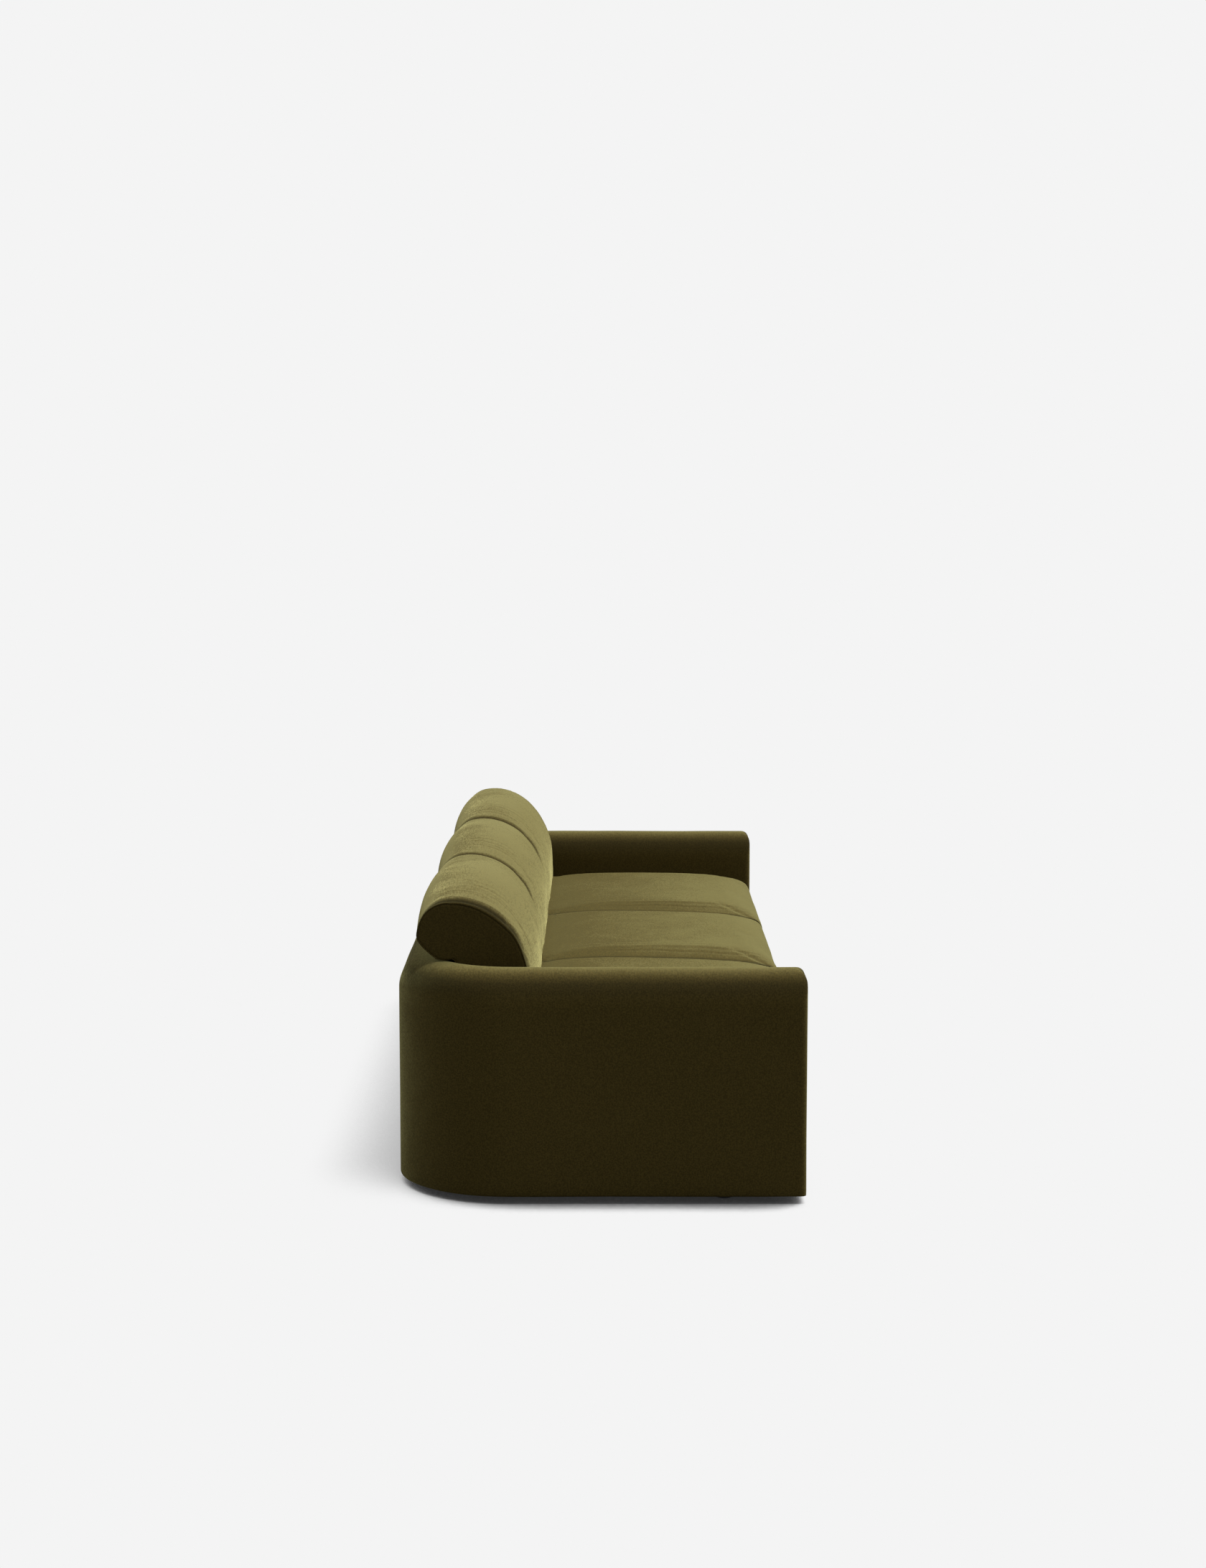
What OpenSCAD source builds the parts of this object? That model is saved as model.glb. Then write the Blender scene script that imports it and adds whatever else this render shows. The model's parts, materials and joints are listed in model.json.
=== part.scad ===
// Modular sofa of three units: two arm units and an armless middle one.
// X runs along the sofa, the front is -Y, and the floor is Z = 0.

/* [Overall] */
// Width of one seat, and of the middle unit
seat_pitch = 812; // [700:1:900]
// Depth from the arm fronts to the rear wall
sofa_depth = 965; // [900:1:1050]
// Height of the arms and the back wall above the floor
wall_top = 546; // [520:1:580]
// Gap between the floor and the underside
floor_gap = 17.5; // [15:0.5:30]
// Gap between two joined units
unit_gap = 1; // [0.6:0.1:3]
// Clearance between soft pieces
soft_gap = 0.3; // [0.2:0.1:0.8]

/* [Walls] */
// Thickness of the padded arms and back walls
wall_t = 152; // [130:1:170]
// Outer radius of the rear corners
corner_r = 270; // [240:1:290]
// Radius of the upright edges at the arm fronts
arm_edge_r = 15; // [8:1:25]
// Radius of the top corner at the arm fronts, seen from the side
arm_nose_r = 30; // [15:1:45]
// Thickness of the velvet cover
cover_t = 2.5; // [1.5:0.1:4]
// Thickness of the foam on the arms and walls
foam_t = 25; // [18:1:32]

/* [Frames] */
// Thickness of the studs and plates in the wall frames
stud_t = 25; // [18:1:30]
// Number of studs in one wall frame
stud_count = 4; // [3:1:6]
// Width of the bent ribs in the corner frames
corner_rib_w = 34; // [28:1:38]
// Thickness of the bent plywood between the ribs
corner_ply_t = 6; // [4:1:10]
// Angle that one corner stud spans
corner_stud_angle = 6; // [4:1:9]

/* [Base] */
// Thickness of the base rails
rail_t = 40; // [36:1:48]
// Height of the long rails and side rails
rail_h = 205; // [180:1:220]
// Height of the middle stretcher
stretcher_h = 90; // [60:1:120]
// Thickness of the padded front panel
panel_t = 25; // [18:1:35]
// Distance of the front panel behind the arm fronts
panel_setback = 4; // [2:0.5:10]
// Radius of the front panel's lower and upper edges
panel_edge_r = 8; // [4:1:12]
// Size of a foot block across the seat
block_w = 60; // [50:1:80]
// Size of a foot block from front to rear
block_l = 90; // [60:1:110]
// Height of a foot block
block_h = 60; // [50:1:90]
// Width of one strap of webbing
strap_w = 50; // [40:1:60]
// Thickness of one strap of webbing
strap_t = 2; // [1.5:0.1:3]
// Number of straps that run from front to rear
strap_count = 6; // [4:1:8]
// Number of straps that run across
cross_strap_count = 6; // [4:1:8]
// Thickness of the deck cloth
deck_t = 1.5; // [1:0.1:3]
// Thickness of the dust cloth under the base
dust_t = 1; // [0.8:0.1:1.5]

/* [Feet and screws] */
// Radius of a foot
foot_r = 20; // [16:0.5:24]
// Chamfer at a foot's lower edge
foot_chamfer = 2; // [1:0.5:4]
// Distance of the front feet behind the arm fronts
foot_inset = 190; // [150:1:230]
// Radius of a screw's shank
screw_r = 2.25; // [2:0.05:2.75]
// Length of a screw below its head
screw_l = 30; // [26:1:34]
// Radius of a screw's head
screw_head_r = 4.5; // [4:0.1:5.5]
// Height of a screw's head
screw_head_h = 2; // [1.5:0.1:3]
// Clearance of a screw in its hole
screw_gap = 0.05; // [0.03:0.01:0.1]
// Clearance of a screw's head in a foot's recess
head_gap = 1; // [0.5:0.1:1.5]
// Depth of the recess below a foot
foot_recess = 8; // [6:0.5:10]

/* [Connectors] */
// Thickness of the connector plates
plate_t = 3; // [2.5:0.1:3.2]
// Length of a connector plate along the rail
plate_l = 80; // [70:1:100]
// Distance between the screws of one connector plate
plate_screw_pitch = 56; // [50:1:62]
// Distance of a connector from the front and rear faces of the base
plate_inset = 320; // [290:1:360]
// Radius of the pin
pin_r = 5; // [4:0.1:6]
// Height of the pin's head
pin_head_h = 2.5; // [2:0.1:3]
// Overhang of the pin's head around the pin
pin_head_rim = 3.5; // [2:0.1:5]
// Distance of the pin from the joint between two units
pin_inset = 18; // [16:0.5:22]
// Width of one fork tine
tine_w = 12; // [9:0.5:15]
// Length of the fork tines past the pin's centre
tine_l = 12; // [8:0.5:18]
// Clearance between the pin and the fork
pin_gap = 0.3; // [0.2:0.05:0.6]
// Clearance above and below the fork
fork_gap = 1; // [0.6:0.1:1.2]

/* [Seat cushions] */
// Height of a seat cushion's crown above the floor
seat_crown_z = 432; // [425:1:445]
// Height of the seat where the bolster stands on it
seat_rest_z = 412; // [400:1:418]
// Distance of a seat cushion's front behind the arm fronts
seat_setback = 2.5; // [1:0.5:10]
// How far a seat cushion's sides draw in at the top
seat_draw_top = 18; // [8:1:26]
// How far a seat cushion's sides draw in at the front
seat_draw_front = 9; // [4:1:14]
// Width of the rounded strip at each side of a seat cushion
seat_roll = 90; // [60:1:120]
// Thickness of the wrap around the foam cores
wrap_t = 34; // [30:1:38]
// Distance of a seat core's front behind the cushion's front
seat_core_inset = 52; // [46:1:60]

/* [Back bolsters] */
// Height of a bolster's crown above the floor
bolster_crown_z = 728; // [710:1:760]
// Depth of a bolster
bolster_depth = 289; // [270:1:300]
// Distance of a bolster's rear from the rear wall's face
bolster_back = 40.5; // [30:0.5:50]
// How far a bolster's sides draw in
bolster_draw = 50; // [30:1:54]
// Width of the tight fold at each side of a bolster
bolster_roll = 15; // [10:1:25]
// Depth of a bolster's foam core, as a share of the bolster's
bolster_core_depth_share = 0.32; // [0.26:0.01:0.34]
// Height of a bolster's foam core, as a share of the bolster's
bolster_core_height_share = 0.47; // [0.36:0.01:0.5]

/* [Hidden] */
$fn = 64;

velvet = "#6b6431";
foam = "#e8dfb8";
timber = "#c9a46c";
cloth = "#2b2b28";
steel = "#9da1a6";
black = "#161616";

// Overrun of a cut past the face that it opens
over = wall_t;
// Flat steps of a full turn of the large corner
corner_facets = 128;
seat_count = 3;
// Where the pieces of an arm unit stand along X, from the sofa's middle
joint_x = seat_pitch / 2 + unit_gap / 2;
arm_in_x = seat_pitch * seat_count / 2;
end_x = arm_in_x + wall_t;
corner_x = end_x - corner_r;
base_end_x = arm_in_x - soft_gap;
middle_x = seat_pitch / 2 - unit_gap / 2;
// Where they stand along Y
front_y = -sofa_depth / 2;
rear_y = sofa_depth / 2;
corner_y = rear_y - corner_r;
well_y = rear_y - wall_t;
panel_y = front_y + panel_setback;
rail_front_y = panel_y + panel_t + soft_gap;
rail_rear_y = well_y - soft_gap;
// Heights
bull_r = wall_t / 2;
bull_z = wall_top - bull_r;
rail_top_z = floor_gap + rail_h;
strap_top_z = rail_top_z + 2 * strap_t;
deck_z = strap_top_z + deck_t;
seat_z = deck_z + soft_gap;
// Insets of the foam and the frames from the wall's outer face
foam_in = cover_t + soft_gap;
frame_in = foam_in + foam_t;
corner_rib_r = corner_r - frame_in - soft_gap;
// Feet and connectors
front_foot_y = front_y + foot_inset;
rear_foot_y = rail_rear_y - rail_t - block_l / 2;
joint_foot_x = joint_x + rail_t + block_w / 2;
arm_foot_x = end_x - wall_t / 2;
inner_foot_x = base_end_x - rail_t - block_w / 2;
middle_foot_x = middle_x - rail_t - block_w / 2;
plate_ys = [rail_front_y + plate_inset, rail_rear_y - plate_inset];
plate_z = floor_gap - plate_t;
fork_z = plate_z - fork_gap - plate_t;
pin_x = middle_x - pin_inset;
// Cushions
cushion_w = seat_pitch - unit_gap - 2 * soft_gap;
seat_front_y = front_y + seat_setback;
seat_rear_y = well_y - soft_gap;
bolster_rear_y = rear_y - bolster_back;
bolster_front_y = bolster_rear_y - bolster_depth;
bolster_z = seat_rest_z + soft_gap;
notch_z = wall_top + soft_gap;
// The point of a bolster's end that its rings draw in towards
pole_shift = bolster_draw / 3;
bolster_pole_y = (bolster_front_y + bolster_rear_y) / 2 - pole_shift;
bolster_pole_z = notch_z + bolster_draw;
roll_steps = 6;
// How much of a cushion's crown rises slowly from its sides to its middle
seat_slow = 0.08;
bolster_slow = 0.84;
// Distances of a bolster's rings from its end, past the fold, as shares of the way to its middle
bolster_station_shares = [0.13, 0.3, 0.5, 0.75];

// A seat cushion's front, from its foot up: shares of the run back to the bolster, and of the height
seat_front_shares = [
    [0.04, 0], [0.016, 0.03], [0.003, 0.1], [0, 0.34], [0, 0.58],
    [0.003, 0.74], [0.011, 0.84], [0.03, 0.92], [0.06, 0.98]
];
// Its top, from front to rear: shares of the same run, and of the rise above the resting height
seat_top_shares = [
    [0.118, 0.3], [0.205, 0.65], [0.332, 0.9], [0.474, 1], [0.616, 1],
    [0.758, 0.9], [0.87, 0.6], [0.95, 0.2], [0.99, 0]
];
// Its rear, from the top down: shares of the run behind the bolster's front, and of the height
seat_rear_shares = [[0.5, 1], [0.95, 1], [0.99, 0.98], [1, 0.94], [1, 0.5], [1, 0.06], [0.97, 0]];
// A bolster's front: shares of its depth, of its height, and of the draw
bolster_front_shares = [
    [0.017, 0, 0.05], [0.003, 0.059, 0.2], [0, 0.18, 0.35], [0, 0.309, 0.45], [0.007, 0.42, 0.55],
    [0.022, 0.531, 0.65], [0.05, 0.629, 0.74], [0.1, 0.724, 0.84], [0.171, 0.813, 0.93], [0.266, 0.892, 1],
    [0.388, 0.952, 1], [0.509, 0.986, 1], [0.63, 1, 1]
];
// Its rear: shares of its depth, of its rise above the wall, and of the draw
bolster_rear_shares = [
    [0.723, 0.967, 1], [0.81, 0.901, 0.78], [0.879, 0.805, 0.62], [0.938, 0.648, 0.42], [0.979, 0.494, 0.36],
    [1, 0.362, 0.4], [0.993, 0.229, 0.46], [0.955, 0.119, 0.48], [0.896, 0.042, 0.48], [0.84, 0, 0]
];

function clip01(v) = max(0, min(1, v));

// How full a cushion is at a distance from its end, from 0 at the seam to 1
function fullness(d, roll, slow) =
    let (way = clip01(2 * d / cushion_w))
    let (edge = sqrt(1 - pow(1 - clip01(d / roll), 2)))
    edge * (1 - slow) + (sin(90 * way) + way) / 2 * slow;

// Distances of a cushion's rings from its end, close together at the seam
function roll_stations(roll) = [for (i = [0 : roll_steps]) roll * (1 - cos(90 * i / roll_steps))];

seat_stations = concat(roll_stations(seat_roll), [(seat_roll + cushion_w / 2) / 2]);
bolster_stations = concat(
    roll_stations(bolster_roll),
    [for (s = bolster_station_shares) bolster_roll + s * (cushion_w / 2 - bolster_roll)]);

// Each ring's place along X and its distance from the nearer end
function stations(ends) = concat(
    [for (d = ends) [d - cushion_w / 2, d]],
    [[0, cushion_w / 2]],
    [for (i = [len(ends) - 1 : -1 : 0]) [cushion_w / 2 - ends[i], ends[i]]]
);

// One ring of a seat cushion in Y and Z, where full is 1 at the crown
function seat_ring(full) =
    let (run = bolster_front_y - seat_front_y)
    let (rest = seat_rear_y - bolster_front_y)
    let (rise = seat_rest_z - seat_z)
    let (crown = seat_crown_z - seat_rest_z)
    let (points = concat(
        [for (s = seat_front_shares) [seat_front_y + s.x * run, seat_z + s.y * rise]],
        [for (s = seat_top_shares) [seat_front_y + s.x * run, seat_rest_z + s.y * crown]],
        [for (s = seat_rear_shares) [bolster_front_y + s.x * rest, seat_z + s.y * rise]],
        [for (s = [0.75, 0.5, 0.25]) [seat_front_y + s * (run + rest), seat_z]]))
    [for (p = points)
        let (back = clip01((p.x - seat_front_y) / (run + rest)))
        let (up = clip01((p.y - seat_z) / (rise + crown)))
        [p.x + (1 - full) * seat_draw_front * pow(1 - back, 6) * sin(180 * up),
         p.y - (1 - full) * seat_draw_top * pow(up, 3) * sqrt(1 - back)]];

// One ring of a bolster in Y and Z, where full is 1 at the crown
function bolster_ring(full) =
    let (deep = bolster_rear_y - bolster_front_y)
    let (points = concat(
        [for (s = bolster_front_shares)
            [bolster_front_y + s.x * deep, bolster_z + s.y * (bolster_crown_z - bolster_z), s.z]],
        [for (s = bolster_rear_shares)
            [bolster_front_y + s.x * deep, notch_z + s.y * (bolster_crown_z - notch_z), s.z]],
        [[seat_rear_y + wall_t / 4, notch_z, 0],
         [seat_rear_y, notch_z, 0],
         [seat_rear_y, (notch_z + bolster_z) / 2, 0],
         [seat_rear_y, bolster_z, 0]],
        [for (s = [2 / 3, 1 / 3])
            [bolster_front_y + s * (seat_rear_y - bolster_front_y), bolster_z, 0]]))
    [for (p = points)
        let (to_pole = [bolster_pole_y - p.x, bolster_pole_z - p.y])
        let (pull = (1 - full) * bolster_draw * p.z / norm(to_pole))
        [p.x + pull * to_pole.x, p.y + pull * to_pole.y]];

// A closed skin through rings of equal length, each end closed by a fan about a pole
module ringed_form(rings, xs, pole) {
    n = len(rings[0]);
    m = len(rings);
    points = concat(
        [for (i = [0 : m - 1]) each [for (p = rings[i]) [xs[i], p.x, p.y]]],
        [[xs[0], pole.x, pole.y], [xs[m - 1], pole.x, pole.y]]);
    sides = [for (i = [0 : m - 2], j = [0 : n - 1])
        let (a = i * n + j)
        let (b = i * n + (j + 1) % n)
        each [[a, b, b + n], [a, b + n, a + n]]];
    ends = [for (j = [0 : n - 1])
        let (k = (j + 1) % n)
        each [[m * n, k, j], [m * n + 1, (m - 1) * n + j, (m - 1) * n + k]]];
    polyhedron(points, concat(sides, ends));
}

// A box between two corners
module block(low, high) {
    translate(low) cube(high - low);
}

// Copies a right hand piece to the left where side is -1
module handed(side) {
    if (side < 0) {
        mirror([1, 0, 0]) children();
    } else {
        children();
    }
}

// The outline of a wall across its thickness, with a full round top, drawn in by d
module wall_outline(d) {
    foot = d > 0 ? floor_gap - over : floor_gap;
    translate([d, foot]) square([wall_t - 2 * d, bull_z - foot]);
    translate([bull_r, bull_z]) circle(bull_r - d);
}

// A wall along X between two places, with its outer face at the rear
module back_wall(x0, x1, d) {
    translate([x0, well_y, 0]) rotate([90, 0, 90]) linear_extrude(x1 - x0) wall_outline(d);
}

// The arm, with its rounded front
module arm_wall(d) {
    intersection() {
        translate([arm_in_x, corner_y, 0])
            rotate([90, 0, 0])
                linear_extrude(corner_y - front_y) wall_outline(d);
        translate([0, 0, -over]) linear_extrude(wall_top + 2 * over) arm_plan(d);
        translate([arm_in_x - over, 0, 0])
            rotate([90, 0, 90])
                linear_extrude(wall_t + 2 * over) arm_side(d);
    }
}

// The arm seen from above, with rounded front edges
module arm_plan(d) {
    r = arm_edge_r;
    near = front_y + d;
    translate([arm_in_x - over, near + r]) square([wall_t + 2 * over, corner_y + over - near - r]);
    translate([arm_in_x + d + r, near]) square([wall_t - 2 * (d + r), 2 * r]);
    for (x = [arm_in_x + d + r, end_x - d - r]) {
        translate([x, near + r]) circle(r);
    }
}

// The arm seen from the side, with a rounded top corner at the front
module arm_side(d) {
    r = arm_nose_r;
    near = front_y + d;
    top = wall_top - d;
    translate([near + r, -over]) square([corner_y + over - near - r, top + over]);
    translate([near, -over]) square([2 * r, top + over - r]);
    translate([near + r, top - r]) circle(r);
}

// The round rear corner of an arm unit
module corner_wall(d) {
    translate([corner_x, corner_y, 0])
        rotate_extrude(angle = 90, $fn = corner_facets)
            translate([corner_r - wall_t, 0]) wall_outline(d);
}

// The space of the seat, which squares the inside of the corner
module seat_well(d) {
    block([-end_x, front_y - over, -over], [arm_in_x + d, well_y + d, wall_top + over]);
}

// Arm, corner and back wall of an arm unit in one, drawn in by d
module unit_wall(d) {
    difference() {
        union() {
            arm_wall(d);
            corner_wall(d);
            back_wall(joint_x + d, corner_x, d);
        }
        seat_well(d);
    }
}

// Velvet over the walls of an arm unit
module end_cover() {
    color(velvet)
        difference() {
            unit_wall(0);
            unit_wall(cover_t);
        }
}

// Velvet over the middle unit's back wall
module middle_cover() {
    color(velvet)
        difference() {
            back_wall(-middle_x, middle_x, 0);
            back_wall(-middle_x + cover_t, middle_x - cover_t, cover_t);
        }
}

// The upright room inside a straight wall's foam, which the frame fills
module wall_room_y() {
    low = [arm_in_x + frame_in, front_y + frame_in, floor_gap - over];
    block(low, [end_x - frame_in, corner_y, bull_z]);
}

module wall_room_x(x0, x1) {
    block([x0, well_y + frame_in, floor_gap - over], [x1, rear_y - frame_in, bull_z]);
}

// The same room in the corner, between two radii
module corner_room(from_r, to_r, z0, z1, from_angle, angle) {
    translate([corner_x, corner_y, z0])
        rotate([0, 0, from_angle])
            rotate_extrude(angle = angle, $fn = corner_facets)
                translate([from_r, 0]) square([to_r - from_r, z1 - z0]);
}

// Everything above the underside
module above_floor_gap() {
    block([-end_x, front_y, floor_gap], [end_x, rear_y, wall_top]);
}

module arm_foam() {
    color(foam)
        difference() {
            intersection() {
                arm_wall(foam_in);
                above_floor_gap();
                block([0, front_y, 0], [end_x, corner_y, wall_top]);
            }
            wall_room_y();
        }
}

module corner_foam() {
    color(foam)
        difference() {
            intersection() {
                corner_wall(foam_in);
                above_floor_gap();
            }
            seat_well(foam_in);
            corner_room(corner_rib_r - corner_rib_w - soft_gap, corner_rib_r + soft_gap,
                floor_gap - over, bull_z, -corner_stud_angle, 90 + 2 * corner_stud_angle);
        }
}

module back_foam_between(x0, x1, room_x1) {
    color(foam)
        difference() {
            intersection() {
                back_wall(x0 + foam_in, x1, foam_in);
                above_floor_gap();
            }
            wall_room_x(x0 - over, room_x1);
        }
}

module middle_back_foam() {
    color(foam)
        difference() {
            intersection() {
                back_wall(foam_in - middle_x, middle_x - foam_in, foam_in);
                above_floor_gap();
            }
            wall_room_x(-middle_x - over, middle_x + over);
        }
}

// A frame of plates and studs in a straight wall, from y0 to y1
module stud_frame(length, thick, high) {
    for (z = [0, high - stud_t]) {
        translate([0, 0, z]) cube([length, thick, stud_t]);
    }
    for (i = [0 : stud_count - 1]) {
        translate([i * (length - stud_t) / (stud_count - 1), 0, 0]) cube([stud_t, thick, high]);
    }
}

module arm_frame() {
    color(timber)
        difference() {
            translate([end_x - frame_in, front_y + frame_in, floor_gap])
                rotate([0, 0, 90])
                    stud_frame(corner_y - front_y - frame_in, wall_t - 2 * frame_in, bull_z - floor_gap);
            screw_holes(end_screw_places());
        }
}

// Two bent ribs with upright studs between them and bent plywood around them
module corner_frame() {
    bay = (90 - 3 * corner_stud_angle) / 2;
    color(timber)
        difference() {
            corner_room(corner_rib_r - corner_rib_w, corner_rib_r, floor_gap, bull_z, 0, 90);
            for (i = [0, 1]) {
                corner_room(corner_rib_r - corner_rib_w - stud_t, corner_rib_r - corner_ply_t,
                    floor_gap + stud_t, bull_z - stud_t,
                    corner_stud_angle + i * (bay + corner_stud_angle), bay);
            }
        }
}

module back_frame_between(x0, x1) {
    color(timber)
        translate([x0, well_y + frame_in, floor_gap])
            stud_frame(x1 - x0, wall_t - 2 * frame_in, bull_z - floor_gap);
}

// Base of a unit between two places along X
module long_rails(x0, x1) {
    color(timber) {
        block([x0, rail_front_y, floor_gap], [x1, rail_front_y + rail_t, rail_top_z]);
        block([x0, rail_rear_y - rail_t, floor_gap], [x1, rail_rear_y, rail_top_z]);
    }
}

module side_rails(x0, x1, places) {
    near = rail_front_y + rail_t;
    far = rail_rear_y - rail_t;
    mid = (x0 + x1 - rail_t) / 2;
    color(timber)
        difference() {
            union() {
                block([x0, near, floor_gap], [x0 + rail_t, far, rail_top_z]);
                block([x1 - rail_t, near, floor_gap], [x1, far, rail_top_z]);
                block([mid, near, floor_gap], [mid + rail_t, far, floor_gap + stretcher_h]);
            }
            screw_holes(places);
        }
}

module foot_blocks(xs_ys, places) {
    color(timber)
        difference() {
            union() {
                for (p = xs_ys) {
                    block([p.x - block_w / 2, p.y - block_l / 2, floor_gap],
                        [p.x + block_w / 2, p.y + block_l / 2, floor_gap + block_h]);
                }
            }
            screw_holes(places);
        }
}

module front_panel(x0, x1) {
    r = panel_edge_r;
    high = strap_top_z - floor_gap;
    color(velvet)
        translate([x0, panel_y, floor_gap])
            rotate([90, 0, 90])
                linear_extrude(x1 - x0) {
                    translate([r, 0]) square([panel_t - r, high]);
                    translate([0, r]) square([panel_t, high - 2 * r]);
                    translate([r, r]) circle(r);
                    translate([r, high - r]) circle(r);
                }
}

module webbing(x0, x1) {
    length = rail_rear_y - rail_front_y;
    pitch = (x1 - x0 - 2 * rail_t - strap_w) / (strap_count - 1);
    cross_pitch = (length - 2 * rail_t - strap_w) / (cross_strap_count - 1);
    color(cloth) {
        for (i = [0 : strap_count - 1]) {
            translate([x0 + rail_t + i * pitch, rail_front_y, rail_top_z])
                cube([strap_w, length, strap_t]);
        }
        for (i = [0 : cross_strap_count - 1]) {
            translate([x0, rail_front_y + rail_t + i * cross_pitch, rail_top_z + strap_t])
                cube([x1 - x0, strap_w, strap_t]);
        }
    }
}

module deck_cloth(x0, x1) {
    color(cloth) block([x0, panel_y, strap_top_z], [x1, rail_rear_y, deck_z]);
}

// The dust cloth below the base, cut out around the feet
module dust_cloth(x0, x1, xs_ys) {
    color(cloth)
        difference() {
            block([x0 + rail_t, rail_front_y, floor_gap - dust_t], [x1 - rail_t, rail_rear_y, floor_gap]);
            for (p = xs_ys) {
                translate([p.x, p.y, 0]) cylinder(r = foot_r + head_gap, h = floor_gap + over);
            }
        }
}

// Screw places, each as X, Y and the height of the head's upper side
function foot_places(xs_ys) = [for (p = xs_ys) [p.x, p.y, foot_recess]];
function plate_places(x) = [
    for (y = plate_ys, s = [-1, 1]) [x, y + s * plate_screw_pitch / 2, plate_z]
];
function end_blocks() = [
    [joint_foot_x, front_foot_y], [joint_foot_x, rear_foot_y], [inner_foot_x, rear_foot_y]
];
function end_feet() = concat(end_blocks(), [[arm_foot_x, front_foot_y]]);
function middle_feet_places() = [
    for (x = [-middle_foot_x, middle_foot_x], y = [front_foot_y, rear_foot_y]) [x, y]
];
function end_screw_places() = concat(foot_places(end_feet()), plate_places(joint_x + rail_t / 2));
function middle_screw_places() = concat(
    foot_places(middle_feet_places()),
    plate_places(middle_x - rail_t / 2),
    plate_places(rail_t / 2 - middle_x)
);

module screw_holes(places) {
    for (p = places) {
        translate(p) cylinder(r = screw_r + screw_gap, h = screw_l + screw_gap);
    }
}

module screws(places) {
    color(steel)
        for (p = places) {
            translate(p) cylinder(r = screw_r, h = screw_l);
            translate([p.x, p.y, p.z - screw_head_h]) cylinder(r = screw_head_r, h = screw_head_h);
        }
}

module feet(xs_ys) {
    color(black)
        for (p = xs_ys) {
            translate([p.x, p.y, 0])
                difference() {
                    union() {
                        cylinder(r1 = foot_r - foot_chamfer, r2 = foot_r, h = foot_chamfer);
                        translate([0, 0, foot_chamfer]) cylinder(r = foot_r, h = floor_gap - foot_chamfer);
                    }
                    translate([0, 0, -over]) cylinder(r = screw_head_r + head_gap, h = over + foot_recess);
                    cylinder(r = screw_r + screw_gap, h = floor_gap + over);
                }
        }
}

// Fork plates below an arm unit's rail, each with a slot that is open towards the middle unit
module fork_plates() {
    slot_r = pin_r + pin_gap;
    half = slot_r + tine_w;
    root_x = joint_x + 2 * soft_gap;
    drop_x = root_x + tine_w;
    color(steel)
        for (y = plate_ys) {
            difference() {
                union() {
                    block([root_x, y - plate_l / 2, plate_z], [joint_x + rail_t, y + plate_l / 2, floor_gap]);
                    block([root_x, y - half, fork_z], [drop_x, y + half, floor_gap]);
                    block([pin_x - tine_l, y - half, fork_z], [drop_x, y + half, fork_z + plate_t]);
                }
                translate([pin_x, y, -over]) cylinder(r = slot_r, h = 2 * over);
                block([pin_x - over, y - slot_r, -over], [pin_x, y + slot_r, wall_t]);
                screw_holes(plate_places(joint_x + rail_t / 2));
            }
        }
}

// Pin plates below the middle unit's side rails
module pin_plates() {
    head_z = fork_z - fork_gap - pin_head_h;
    plate_x = middle_x - rail_t;
    color(steel)
        for (side = [-1, 1], y = plate_ys) {
            handed(side) difference() {
                union() {
                    block([plate_x, y - plate_l / 2, plate_z], [middle_x, y + plate_l / 2, floor_gap]);
                    translate([pin_x, y, head_z]) cylinder(r = pin_r, h = plate_z - head_z + plate_t / 2);
                    translate([pin_x, y, head_z]) cylinder(r = pin_r + pin_head_rim, h = pin_head_h);
                }
                screw_holes(plate_places(middle_x - rail_t / 2));
            }
        }
}

module seat_core_block(grow = 0) {
    low = [wrap_t - cushion_w / 2, seat_front_y + seat_core_inset, seat_z + wrap_t / 2];
    high = [cushion_w / 2 - wrap_t, seat_rear_y - wrap_t, seat_rest_z - seat_core_inset];
    block(low - [grow, grow, grow], high + [grow, grow, grow]);
}

// The loose cushion of one seat, with room inside for its core
module seat_cover(seat) {
    places = stations(seat_stations);
    rings = [for (s = places) seat_ring(fullness(s.y, seat_roll, seat_slow))];
    pole = [(seat_front_y + seat_rear_y) / 2, (seat_z + seat_rest_z) / 2];
    color(velvet)
        translate([seat * seat_pitch, 0, 0])
            difference() {
                ringed_form(rings, [for (s = places) s.x], pole);
                seat_core_block(soft_gap);
            }
}

module seat_core(seat) {
    color(foam) translate([seat * seat_pitch, 0, 0]) seat_core_block();
}

module bolster_core_block(grow = 0) {
    far_y = seat_rear_y - wrap_t / 2;
    low_z = bolster_z + wrap_t / 2;
    core_d = bolster_depth * bolster_core_depth_share;
    core_h = (bolster_crown_z - bolster_z) * bolster_core_height_share;
    low = [wrap_t - cushion_w / 2, far_y - core_d, low_z];
    high = [cushion_w / 2 - wrap_t, far_y, low_z + core_h];
    block(low - [grow, grow, grow], high + [grow, grow, grow]);
}

// The loose bolster that stands on a seat and leans over the wall behind it
module bolster_cover(seat) {
    places = stations(bolster_stations);
    rings = [for (s = places) bolster_ring(fullness(s.y, bolster_roll, bolster_slow))];
    color(velvet)
        translate([seat * seat_pitch, 0, 0])
            difference() {
                ringed_form(rings, [for (s = places) s.x], [bolster_pole_y, bolster_pole_z]);
                bolster_core_block(soft_gap);
            }
}

module bolster_core(seat) {
    color(foam) translate([seat * seat_pitch, 0, 0]) bolster_core_block();
}

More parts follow.
